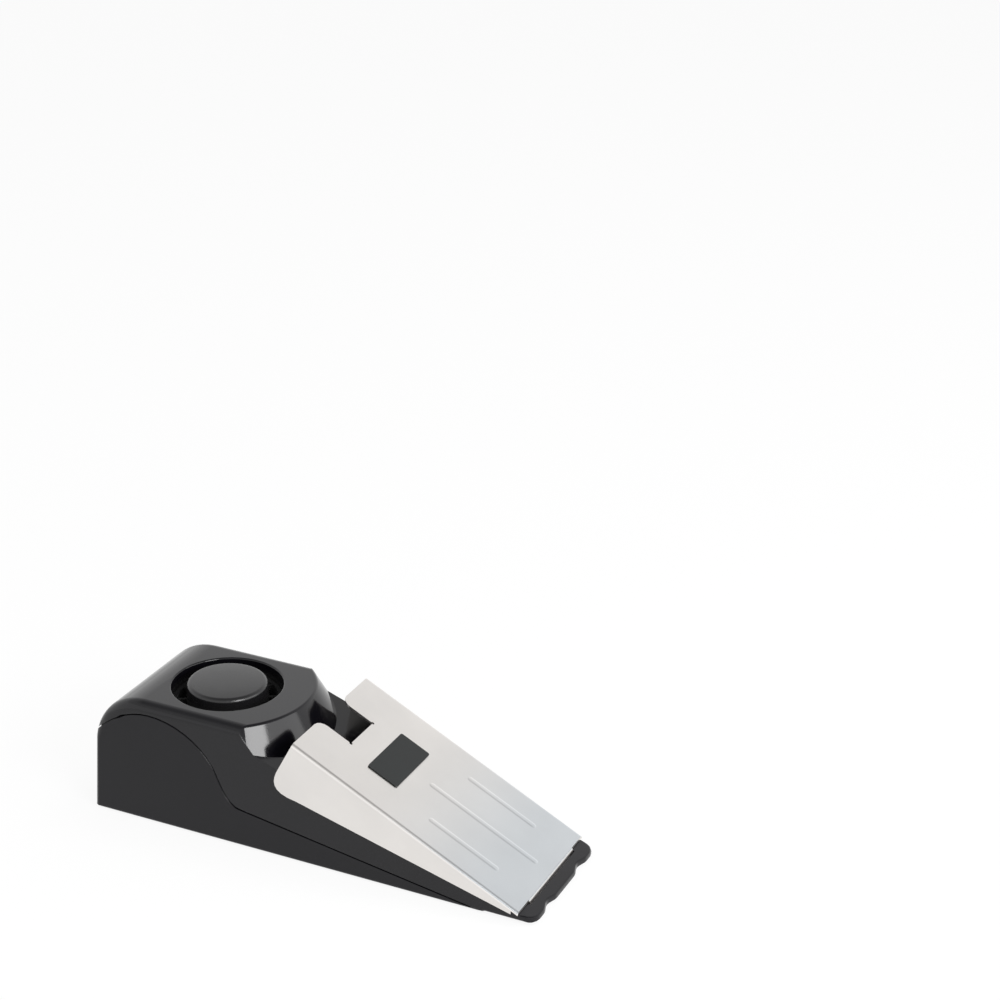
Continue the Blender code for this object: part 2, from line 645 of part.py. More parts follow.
def casing_form(name, inset, front_x=None):
    """The whole casing as one closed form, drawn in by an inset; front_x ends it square."""
    top = TOP_HEIGHT - inset
    arc_centre = (BACK_ARC_RADIUS, BACK_ARC_HEIGHT)
    far_x = BODY_LENGTH + OVERRUN
    side = arc(arc_centre, BACK_ARC_RADIUS - inset, 180, 90, BACK_ARC_STEPS)
    side = [(inset, inset), *side] if inset > 0 else [(-REAR_LEAN, 0), *side[1:]]
    side += [(far_x, top), (far_x, inset + NOSE_LIFT)]
    side += [(LOWER_FRONT_X + NOSE_LIFT_RUN, inset + NOSE_LIFT), (LOWER_FRONT_X, inset)]
    bm = bmesh.new()
    reach = BODY_WIDTH if inset > 0 else HALF_WIDTH
    add_prism(bm, side, "XZ", -reach, reach)
    bmesh.ops.recalc_face_normals(bm, faces=bm.faces)
    weight = bm.edges.layers.float.new("bevel_weight_edge")
    for edge in bm.edges:
        edge[weight] = round_share(edge)
    form = solid(name, bm)
    if inset == 0:
        add_round(form, BLOCK_ROUND, BLOCK_ROUND_STEPS)

    drop = inset * WEDGE_STRETCH
    nose_fall = (WEDGE_FRONT_HEIGHT - NOSE_TIP_HEIGHT) / NOSE_LENGTH
    high = TOP_HEIGHT + OVERRUN
    above = [
        (SIREN_X, wedge_height(SIREN_X) - drop),
        (WEDGE_FRONT_X, WEDGE_FRONT_HEIGHT - drop),
        (far_x + OVERRUN, WEDGE_FRONT_HEIGHT - drop - nose_fall * (NOSE_LENGTH + 2 * OVERRUN)),
        (far_x + OVERRUN, high),
        (SIREN_X, high),
    ]
    bm = bmesh.new()
    add_prism(bm, above, "XZ", -2 * BODY_WIDTH, 2 * BODY_WIDTH)
    over_wedge = solid(name + "_over_wedge", bm)

    bm = bmesh.new()
    ends = (TURRET_FOOT_HEIGHT - OVERRUN, high + OVERRUN)
    profile = [(cone_radius(z) - inset * CONE_STRETCH, z) for z in ends]
    if inset == 0:
        profile = turret_profile(high + OVERRUN)
    levels = []
    for radius, z in profile:
        front = arc((SIREN_X, 0), radius, -90, 90, ROUND_STEPS // 2 if inset > 0 else TURRET_STEPS)
        outline = [(-OVERRUN, -radius), *front, (-OVERRUN, radius)]
        levels.append([bm.verts.new((x, y, z)) for x, y in outline])
    bm.faces.new(levels[0])
    bm.faces.new(levels[-1])
    for below, above in zip(levels, levels[1:]):
        for i, vert in enumerate(below):
            after = (i + 1) % len(below)
            bm.faces.new((vert, below[after], above[after], above[i]))
    boolean(over_wedge, "DIFFERENCE", solid(name + "_turret", bm))

    radius = CORNER_RADIUS
    half = HALF_WIDTH - inset
    rear = [(-OVERRUN, BODY_WIDTH), (-OVERRUN, -BODY_WIDTH), (BODY_LENGTH - NOSE_CORNER_RADIUS, -BODY_WIDTH)]
    if inset > 0:
        rear = arc((inset + radius, half - radius), radius, 90, 180, CORNER_STEPS)
        rear += arc((inset + radius, radius - half), radius, 180, 270, CORNER_STEPS)
    front = nose_outline() if front_x is None else [(front_x, -half), (front_x, half)]
    bm = bmesh.new()
    front += [] if inset > 0 else [(BODY_LENGTH - NOSE_CORNER_RADIUS, BODY_WIDTH)]
    add_prism(bm, rear + front, "XY", -OVERRUN, high + OVERRUN)
    boolean(form, "DIFFERENCE", over_wedge)
    boolean(form, "INTERSECT", solid(name + "_plan", bm))
    return form


def parting_block(bm, lift):
    """Everything under the parting line; lift opens the gap between the shells."""
    rear = (0, PARTING_REAR_HEIGHT)
    crest = (PARTING_CREST_X, PARTING_CREST_HEIGHT)
    waist = (PARTING_WAIST_X, PARTING_WAIST_HEIGHT)
    knee = (PARTING_KNEE_X, PARTING_KNEE_HEIGHT)
    fall = PARTING_KNEE_HEIGHT / (LOWER_FRONT_X - PARTING_KNEE_X)
    line = [(-OVERRUN, PARTING_REAR_HEIGHT), rear]
    line += bezier(rear, PARTING_REAR_SHARES, crest, PARTING_STEPS)
    line += bezier(crest, PARTING_CREST_SHARES, waist, PARTING_STEPS)
    line += bezier(waist, PARTING_WAIST_SHARES, knee, PARTING_STEPS)
    line += [(LOWER_FRONT_X + OVERRUN, -fall * OVERRUN)]
    lifted = []
    for i, point in enumerate(line):
        before, after = line[max(i - 1, 0)], line[min(i + 1, len(line) - 1)]
        along = Vector((after[0] - before[0], after[1] - before[1])).normalized()
        lifted.append((point[0] - along.y * lift, point[1] + along.x * lift))
    lifted[0] = (-OVERRUN, lifted[0][1])
    ends = [(lifted[-1][0], -OVERRUN), (-OVERRUN, -OVERRUN)]
    add_prism(bm, lifted + ends, "XZ", -BODY_WIDTH, BODY_WIDTH)


def outer_casing():
    """The outer form, with its corner ahead of the siren and its nose rounded too."""
    blank = casing_form("casing_blank", 0)
    graph = bpy.context.evaluated_depsgraph_get()
    mesh = bpy.data.meshes.new_from_object(blank.evaluated_get(graph))
    bm = bmesh.new()
    bm.from_mesh(mesh)
    bmesh.ops.remove_doubles(bm, verts=bm.verts, dist=FIT_GAP / 100)
    bmesh.ops.dissolve_limit(bm, angle_limit=math.radians(1), verts=bm.verts, edges=bm.edges)
    weight = bm.edges.layers.float.get("bevel_weight_edge") or bm.edges.layers.float.new("bevel_weight_edge")
    for edge in bm.edges:
        edge[weight] = nose_share(edge)
    form = solid("casing_outer", bm)
    add_round(form, EDGE_ROUND, 2)
    return form


outer_form = outer_casing()
post_form = casing_form("casing_posts", WALL / 2)
hollow_form = casing_form("casing_hollow", WALL, BODY_LENGTH - NOSE_SOLID_LENGTH)
lip_form = casing_form("casing_lip", (WALL + FIT_GAP) / 2, LIP_FRONT_X)
rebate_form = casing_form("casing_rebate", (WALL - FIT_GAP) / 2, LIP_FRONT_X + FIT_GAP)

# Places that follow from the casing and the battery
SCREW_Y = HALF_WIDTH - SCREW_SIDE_INSET
CASING_SCREWS = [(x, side * SCREW_Y) for x in (SCREW_REAR_X, SCREW_FRONT_X) for side in (-1, 1)]
BOARD_SCREWS = [
    (x, side * BOARD_SCREW_Y)
    for x in (BOARD_REAR_X + BOARD_SCREW_INSET, BOARD_FRONT_X - BOARD_SCREW_INSET)
    for side in (-1, 1)
]
OPENING_REAR_X = BAY_REAR_X + COVER_LIP + COVER_LIP / 2
COVER_REAR_X = OPENING_REAR_X - COVER_LIP
COVER_FRONT_X = BAY_FRONT_X + COVER_LIP
COVER_HALF = BAY_HALF + COVER_LIP - FIT_GAP
COVER_PIVOT = (COVER_FRONT_X + FIT_GAP, 0, 0)
SWITCH_FACE_X = -REAR_LEAN * (1 - SWITCH_HEIGHT / BACK_ARC_HEIGHT)
DISH_FLOOR_X = SWITCH_FACE_X + DISH_DEPTH
GRILLE_RING_BOTTOM = WELL_BOTTOM + WELL_LIP + FIT_GAP
GRILLE_RIB_BOTTOM = GRILLE_RING_BOTTOM + GRILLE_RING_HEIGHT / 2

# Places under the plate
PLATE_FALL = (PLATE_REAR_HEIGHT - PLATE_FRONT_HEIGHT) / (WEDGE_FRONT_X - PLATE_REAR_X)
PLATE_TILT = math.atan(PLATE_FALL)
PLATE_DROP = PLATE_THICKNESS / math.cos(PLATE_TILT)
PLATE_HALF = HALF_WIDTH + PLATE_SIDE_GAP + PLATE_THICKNESS
HINGE = (WEDGE_FRONT_X, 0, HINGE_HEIGHT)
GUIDE_RADIUS = PLUNGER_RADIUS + PLUNGER_RUNNING_GAP
GUIDE_BOTTOM = wedge_height(PLUNGER_X) - GUIDE_DEPTH
COLLAR_TOP = GUIDE_BOTTOM - FIT_GAP
NIB_BOTTOM = COLLAR_TOP - PLUNGER_COLLAR - PLUNGER_NIB
LEAF_TOP = NIB_BOTTOM - FIT_GAP
LEAF_BLOCK_TOP = LEAF_TOP + LEAF_BLOCK_RISE
SPRING_SEAT_HEIGHT = wedge_height(SPRING_X) - SPRING_SEAT_DEPTH
SPRING_POCKET_RADIUS = SPRING_RADIUS + SPRING_WIRE_RADIUS + SPRING_SIDE_GAP
SPRING_PLACES = {"return_spring_left": (SPRING_X, SPRING_Y), "return_spring_right": (SPRING_X, -SPRING_Y)}


def plate_top(x):
    return PLATE_REAR_HEIGHT - PLATE_FALL * (x - PLATE_REAR_X)


def plate_under(x):
    return plate_top(x) - PLATE_DROP


def lower_housing():
    """The lower shell: floor, cheeks, battery bay, posts, switch guides and the recesses underneath."""
    bm = bmesh.new()
    parting_block(bm, 0)
    shell = solid("lower_housing", bm, LOWER_PLASTIC)
    boolean(shell, "INTERSECT", outer_form)
    rim = bmesh.new()
    parting_block(rim, LIP_HEIGHT)
    lip = solid("lower_lip", rim)
    boolean(lip, "INTERSECT", lip_form)
    room = bmesh.new()
    for centre in CASING_SCREWS:
        add_cylinder(room, centre, SCREW_BOSS_RADIUS + FIT_GAP, -OVERRUN, TOP_HEIGHT, SMALL_STEPS)
    boolean(lip, "DIFFERENCE", solid("boss_room", room))
    boolean(shell, "UNION", lip)
    boolean(shell, "DIFFERENCE", hollow_form)

    inside = bmesh.new()
    for centre in CASING_SCREWS:
        add_cylinder(inside, centre, SCREW_POST_RADIUS, FLOOR / 2, SCREW_JOIN_HEIGHT, SMALL_STEPS)
    for side in (-1, 1):
        low = side * (SWITCH_HALF + FIT_GAP)
        ends = sorted((low, low + side * SWITCH_GUIDE))
        depth = WALL + FIT_GAP + SWITCH_DEPTH
        heights = (SWITCH_HEIGHT - SWITCH_TALL, SWITCH_HEIGHT + SWITCH_TALL)
        add_prism(inside, rectangle(WALL / 2, depth, *heights), "XZ", *ends)
    boolean(shell, "UNION", solid("lower_posts", inside))

    bay = bmesh.new()
    wall = BAY_HALF + BAY_WALL
    rear, front = BAY_REAR_X - BAY_WALL, BAY_FRONT_X + BAY_WALL
    add_prism(bay, rectangle(rear, front, -wall, wall), "XY", FLOOR / 2, BAY_TOP)
    walls = solid("bay_walls", bay)
    posts = bmesh.new()
    for centre in BOARD_SCREWS:
        low, high = FLOOR - FLOOR / 4, BAY_TOP - FIT_GAP / 2
        add_cylinder(posts, centre, BOARD_POST_RADIUS, low, high, SMALL_STEPS)
    boolean(walls, "UNION", solid("board_posts", posts))
    room = bmesh.new()
    outline = rectangle(BAY_REAR_X, BAY_FRONT_X, -BAY_HALF, BAY_HALF)
    add_prism(room, outline, "XY", FLOOR, BAY_TOP + OVERRUN)
    boolean(walls, "DIFFERENCE", solid("bay_room", room))
    boolean(shell, "UNION", walls)

    cuts = bmesh.new()
    recess_half = COVER_HALF + FIT_GAP
    recess = rectangle(COVER_REAR_X - FIT_GAP, COVER_FRONT_X + FIT_GAP, -recess_half, recess_half)
    add_prism(cuts, recess, "XY", -OVERRUN, COVER_THICKNESS + FIT_GAP)
    for centre in CASING_SCREWS:
        profile = [
            (0, -OVERRUN),
            (SCREW_HEAD_RADIUS + FIT_GAP, -OVERRUN),
            (SCREW_HEAD_RADIUS + FIT_GAP, SCREW_SEAT),
            (SCREW_RADIUS + FIT_GAP, SCREW_SEAT),
            (SCREW_RADIUS + FIT_GAP, SCREW_JOIN_HEIGHT + OVERRUN / 4),
            (0, SCREW_JOIN_HEIGHT + OVERRUN / 4),
        ]
        add_turned(cuts, profile, centre, SMALL_STEPS)
    for outline in pad_outlines(0).values():
        add_prism(cuts, outline, "XY", -OVERRUN, PAD_SINK)
    for centre in BOARD_SCREWS:
        low = BAY_TOP - BOARD_SCREW_LENGTH
        add_cylinder(cuts, centre, PILOT_RADIUS, low, BAY_TOP + OVERRUN, SMALL_STEPS)
    boolean(shell, "DIFFERENCE", solid("lower_cuts", cuts))

    more = bmesh.new()
    half = BAY_HALF - BATTERY_SIDE_GAP / 2
    opening = rectangle(OPENING_REAR_X, BAY_FRONT_X - BAY_WALL / 4, -half, half)
    add_prism(more, opening, "XY", -OVERRUN, FLOOR * 2)
    reach = BATTERY_LEAD_Y + 4 * LEAD_RADIUS
    snap_top = BATTERY_BOTTOM + BATTERY_HEIGHT / 2 + SNAP_HEIGHT / 2
    notch = rectangle(-reach, reach, snap_top, BAY_TOP + OVERRUN)
    add_prism(more, notch, "YZ", rear - OVERRUN / 4, BAY_REAR_X + OVERRUN / 9)
    tall = KNOB_TALL / 2 + FIT_GAP
    reach = (KNOB_WIDTH + KNOB_TRAVEL) / 2 + FIT_GAP
    heights = (SWITCH_HEIGHT - tall, SWITCH_HEIGHT + tall)
    add_prism(more, rectangle(-reach, reach, *heights), "YZ", DISH_FLOOR_X / 2, WALL + OVERRUN / 9)
    boolean(shell, "DIFFERENCE", solid("lower_openings", more))

    last = bmesh.new()
    heights = (SWITCH_HEIGHT - DISH_TALL / 2, SWITCH_HEIGHT + DISH_TALL / 2)
    dish = rounded(-DISH_HALF, DISH_HALF, *heights, DISH_TALL / 4)
    add_prism(last, dish, "YZ", -OVERRUN, DISH_FLOOR_X)
    run = (COVER_REAR_X - SCOOP_LENGTH, COVER_REAR_X + SCOOP_LENGTH)
    scoop = rounded(*run, -SCOOP_HALF, SCOOP_HALF, SCOOP_LENGTH / 2)
    add_prism(last, scoop, "XY", -OVERRUN, SCOOP_DEPTH)
    for side in (-1, 1):
        middle = side * COVER_TAB_Y
        reach = COVER_TAB_HALF + FIT_GAP
        run = (BAY_FRONT_X - BAY_WALL, COVER_FRONT_X + COVER_TAB_REACH + BAY_WALL)
        heights = (COVER_THICKNESS - COVER_TAB_DROP - FIT_GAP, FLOOR * 3)
        add_prism(last, rectangle(middle - reach, middle + reach, *heights), "YZ", *run)
    boolean(shell, "DIFFERENCE", solid("lower_dishes", last))


def pad_outlines(draw_in):
    """The three rubber pads from below, drawn in by a gap."""
    outlines = {}
    half = PAD_FRONT_HALF - draw_in
    outlines["grip_pad_front"] = rounded(
        PAD_FRONT_FROM + draw_in, PAD_FRONT_TO - draw_in, -half, half, PAD_CORNER
    )
    for name, side in (("grip_strip_left", 1), ("grip_strip_right", -1)):
        across = sorted((side * (STRIP_INNER + draw_in), side * (STRIP_OUTER - draw_in)))
        outlines[name] = rounded(STRIP_FROM + draw_in, STRIP_TO - draw_in, *across, STRIP_CORNER)
    return outlines


def upper_housing():
    """The upper shell: rear block with the siren well, conical front, ramp and nose."""
    base = bmesh.new()
    low, high = (-OVERRUN, BODY_LENGTH + OVERRUN), (-OVERRUN, TOP_HEIGHT + OVERRUN)
    add_prism(base, rectangle(*low, *high), "XZ", -BODY_WIDTH, BODY_WIDTH)
    shell = solid("upper_housing", base, BLACK_PLASTIC)
    boolean(shell, "INTERSECT", outer_form)
    boolean(shell, "DIFFERENCE", hollow_form)
    under = bmesh.new()
    parting_block(under, FIT_GAP)
    boolean(shell, "DIFFERENCE", solid("upper_parting", under))
    rim = bmesh.new()
    parting_block(rim, LIP_HEIGHT + FIT_GAP)
    rebate = solid("upper_rebate", rim)
    boolean(rebate, "INTERSECT", rebate_form)
    boolean(shell, "DIFFERENCE", rebate)

    high = TOP_HEIGHT + OVERRUN
    inside = bmesh.new()
    add_cylinder(inside, SIREN, WELL_RADIUS + WELL_WALL, WELL_BOTTOM, high, ROUND_STEPS)
    for centre in CASING_SCREWS:
        add_cylinder(inside, centre, SCREW_BOSS_RADIUS, SCREW_JOIN_HEIGHT + FIT_GAP, high, SMALL_STEPS)
    add_cylinder(inside, (PLUNGER_X, 0), GUIDE_RADIUS + GUIDE_WALL, GUIDE_BOTTOM, high, SMALL_STEPS)
    for centre in SPRING_PLACES.values():
        radius = SPRING_POCKET_RADIUS + SPRING_SEAT_WALL
        add_cylinder(inside, centre, radius, SPRING_SEAT_HEIGHT - SPRING_SEAT_WALL, high, SMALL_STEPS)
    posts = solid("upper_posts", inside)
    bosses = bmesh.new()
    for centre in SOUNDER_SCREWS:
        heights = (SOUNDER_BOSS_BOTTOM, high + FIT_GAP)
        add_cylinder(bosses, centre, SOUNDER_BOSS_RADIUS, *heights, SMALL_STEPS)
    boolean(posts, "UNION", solid("sounder_bosses", bosses))
    boolean(posts, "INTERSECT", post_form)
    boolean(shell, "UNION", posts)

    cuts = bmesh.new()
    rim_centre = (WELL_RADIUS + WELL_ROUND, TOP_HEIGHT - WELL_ROUND)
    profile = [
        (0, WELL_BOTTOM - OVERRUN),
        (WELL_LIP_RADIUS, WELL_BOTTOM - OVERRUN),
        (WELL_LIP_RADIUS, WELL_BOTTOM + WELL_LIP),
        (WELL_RADIUS, WELL_BOTTOM + WELL_LIP),
        *arc(rim_centre, WELL_ROUND, 180, 90, CORNER_STEPS),
        (WELL_RADIUS + WELL_ROUND, high),
        (0, high),
    ]
    add_turned(cuts, profile, SIREN, ROUND_STEPS)
    for centre in CASING_SCREWS:
        heights = (SCREW_JOIN_HEIGHT - OVERRUN / 4, SCREW_SEAT + SCREW_LENGTH + FIT_GAP)
        add_cylinder(cuts, centre, SCREW_RADIUS + FIT_GAP, *heights, SMALL_STEPS)
    for centre in SOUNDER_SCREWS:
        top = CUP_EAR_BOTTOM + SOUNDER_SCREW_LENGTH + FIT_GAP
        heights = (SOUNDER_BOSS_BOTTOM - OVERRUN / 4, top)
        add_cylinder(cuts, centre, SOUNDER_SCREW_RADIUS + FIT_GAP, *heights, SMALL_STEPS)
    add_cylinder(cuts, (PLUNGER_X, 0), GUIDE_RADIUS, GUIDE_BOTTOM - OVERRUN / 4, high, SMALL_STEPS)
    for centre in SPRING_PLACES.values():
        add_cylinder(cuts, centre, SPRING_POCKET_RADIUS, SPRING_SEAT_HEIGHT, high, SMALL_STEPS)
    half = TONGUE_HALF + FIT_GAP
    rear_x = WEDGE_FRONT_X + TONGUE_REACH - PLATE_THICKNESS - HINGE_SLOT_GAP
    front_x = WEDGE_FRONT_X + TONGUE_REACH + HINGE_SLOT_GAP
    foot_x = front_x - HINGE_SLOT_GAP - TONGUE_FOOT_LENGTH - HINGE_SLOT_GAP
    slot = [
        (foot_x, -OVERRUN),
        (front_x, -OVERRUN),
        (front_x, OVERRUN),
        (rear_x, OVERRUN),
        (rear_x, HINGE_LEDGE),
        (foot_x, HINGE_LEDGE),
    ]
    add_prism(cuts, slot, "XZ", -half, half)
    boolean(shell, "DIFFERENCE", solid("upper_cuts", cuts))


def siren_grille():
    """The round cap in the well, with the ribs and the ring that carry it."""
    ring_outer = WELL_RADIUS - FIT_GAP
    ring_inner = ring_outer - GRILLE_RING_WIDTH
    heights = (GRILLE_RING_BOTTOM, GRILLE_RING_BOTTOM + GRILLE_RING_HEIGHT)
    bm = bmesh.new()
    add_ring(bm, SIREN, ring_inner, ring_outer, *heights, ROUND_STEPS)
    grille = solid("siren_grille", bm, BLACK_PLASTIC)
    edge = CAP_TOP - CAP_CROWN
    inner = CAP_RADIUS - CAP_WALL
    skirt_bottom = GRILLE_RIB_BOTTOM + GRILLE_RIB_HEIGHT / 4
    cap = [
        (0, CAP_TOP),
        (CAP_RADIUS / 2, CAP_TOP - CAP_CROWN / 4),
        *arc((CAP_RADIUS - CAP_ROUND, edge - CAP_ROUND), CAP_ROUND, 90, 0, CORNER_STEPS),
        (CAP_RADIUS, skirt_bottom),
        (inner, skirt_bottom),
        (inner, edge - CAP_WALL - CAP_ROUND),
        (inner - CAP_ROUND, edge - CAP_WALL),
        (0, edge - CAP_WALL),
    ]
    bm = bmesh.new()
    add_turned(bm, cap, SIREN, ROUND_STEPS)
    ribs = bmesh.new()
    half = GRILLE_RIB_WIDTH / 2
    for i in range(GRILLE_RIBS):
        start = CAP_RADIUS - CAP_WALL / 2
        end = ring_inner + GRILLE_RING_WIDTH / 2
        heights = (GRILLE_RIB_BOTTOM, GRILLE_RIB_BOTTOM + GRILLE_RIB_HEIGHT)
        rib = add_prism(ribs, rectangle(-half, half, *heights), "YZ", start, end)
        whole = {v for corner in rib for face in corner.link_faces for v in face.verts}
        turn = Matrix.Rotation(2 * math.pi * i / GRILLE_RIBS, 4, "Z")
        bmesh.ops.transform(ribs, matrix=Matrix.Translation((SIREN_X, 0, 0)) @ turn, verts=list(whole))
    spider = solid("grille_ribs", ribs)
    boolean(grille, "UNION", spider)
    boolean(grille, "UNION", solid("grille_cap", bm))


def sounder():
    """The sounder: foam ring, brass disc with its ceramic layer, and the cup that clamps them."""
    bm = bmesh.new()
    low = FOAM_TOP - FOAM_HEIGHT
    add_ring(bm, SIREN, PIEZO_RADIUS - FOAM_WIDTH, PIEZO_RADIUS, low, FOAM_TOP, ROUND_STEPS)
    solid("foam_ring", bm, FOAM_GREY)
    bm = bmesh.new()
    add_cylinder(bm, SIREN, PIEZO_RADIUS, PIEZO_TOP - PIEZO_THICKNESS, PIEZO_TOP, ROUND_STEPS)
    solid("piezo_disc", bm, BRASS)
    bm = bmesh.new()
    add_cylinder(bm, SIREN, CERAMIC_RADIUS, CERAMIC_TOP - CERAMIC_THICKNESS, CERAMIC_TOP, ROUND_STEPS)
    solid("piezo_ceramic", bm, CERAMIC_WHITE)

    bm = bmesh.new()
    profile = [
        (0, CUP_BOTTOM),
        (CUP_RADIUS, CUP_BOTTOM),
        (CUP_RADIUS, FOAM_TOP),
        (CUP_RECESS_RADIUS, FOAM_TOP),
        (CUP_RECESS_RADIUS, CUP_LEDGE_HEIGHT),
        (CUP_CHAMBER_RADIUS, CUP_LEDGE_HEIGHT),
        (CUP_CHAMBER_RADIUS, CUP_BOTTOM + CUP_FLOOR),
        (0, CUP_BOTTOM + CUP_FLOOR),
    ]
    add_turned(bm, profile, SIREN, ROUND_STEPS)
    cup = solid("sounder_cup", bm, EPOXY_BLACK)
    ears = bmesh.new()
    holes = bmesh.new()
    for side, centre in zip((-1, 1), SOUNDER_SCREWS):
        reach = CUP_EAR_REACH + CUP_EAR_HALF
        run = sorted((SIREN_X + side * (CUP_RECESS_RADIUS + CUP_WALL / 2), SIREN_X + side * reach))
        ear = rectangle(*run, -CUP_EAR_HALF, CUP_EAR_HALF)
        add_prism(ears, ear, "XY", CUP_EAR_BOTTOM, CUP_LEDGE_HEIGHT)
        low, high = CUP_EAR_BOTTOM - OVERRUN / 4, CUP_LEDGE_HEIGHT + OVERRUN / 4
        add_cylinder(holes, centre, SOUNDER_SCREW_RADIUS + FIT_GAP, low, high, SMALL_STEPS)
    slot_end = SIREN_X - CUP_CHAMBER_RADIUS + CUP_SLOT_HALF / 4
    slot = rectangle(slot_end, PIEZO_LEAD_X + CUP_SLOT_HALF, -CUP_SLOT_HALF, CUP_SLOT_HALF)
    add_prism(holes, slot, "XY", CUP_BOTTOM - OVERRUN, CUP_BOTTOM + CUP_FLOOR + FIT_GAP)
    boolean(cup, "UNION", solid("cup_ears", ears))
    boolean(cup, "DIFFERENCE", solid("cup_holes", holes))

    head = (SOUNDER_SCREW_HEAD_RADIUS, SOUNDER_SCREW_HEAD)
    shank = (SOUNDER_SCREW_RADIUS, SOUNDER_SCREW_LENGTH - FIT_GAP)
    for number, centre in enumerate(SOUNDER_SCREWS, 1):
        bm = bmesh.new()
        add_screw(bm, centre, CUP_EAR_BOTTOM - FIT_GAP, head, shank, TINY_STEPS)
        solid(f"sounder_screw_{number}", bm, SCREW_STEEL)


def in_plate_plane(x, rise):
    """The matrix that lays a flat drawing, X down the slope, on the plate's top face at x."""
    tilt = Matrix.Rotation(PLATE_TILT, 4, "Y")
    return Matrix.Translation((x, 0, plate_top(x))) @ tilt @ Matrix.Translation((0, 0, rise))


def add_bead(bm, run):
    """A long dome on the drawing plane, whose height falls off as a cosine from its spine to its foot."""
    pill = arc((run - BEAD_HALF, 0), BEAD_HALF, -90, 90, CORNER_STEPS * 2)
    pill += arc((BEAD_HALF, 0), BEAD_HALF, 90, 270, CORNER_STEPS * 2)
    ring = add_prism(bm, pill, "XY", -PLATE_THICKNESS / 2, -BEAD_SINK)
    whole = {vert for corner in ring for face in corner.link_faces for vert in face.verts}
    for step in range(BEAD_STEPS):
        share = 1 - (step + 1) / (BEAD_STEPS + 1)
        height = (BEAD_HEIGHT + BEAD_SINK) * (1 + math.cos(math.pi * share)) / 2 - BEAD_SINK
        crown = next(face for face in ring[0].link_faces if all(vert in ring for vert in face.verts))
        grown = bmesh.ops.extrude_face_region(bm, geom=[crown, *crown.edges])["geom"]
        ring = [item for item in grown if isinstance(item, bmesh.types.BMVert)]
        for vert in ring:
            spine_x = min(max(vert.co.x, BEAD_HALF), run - BEAD_HALF)
            across = Vector((vert.co.x - spine_x, vert.co.y)).normalized() * BEAD_HALF * share
            vert.co = (spine_x + across.x, across.y, height)
        whole.update(ring)
    return list(whole)


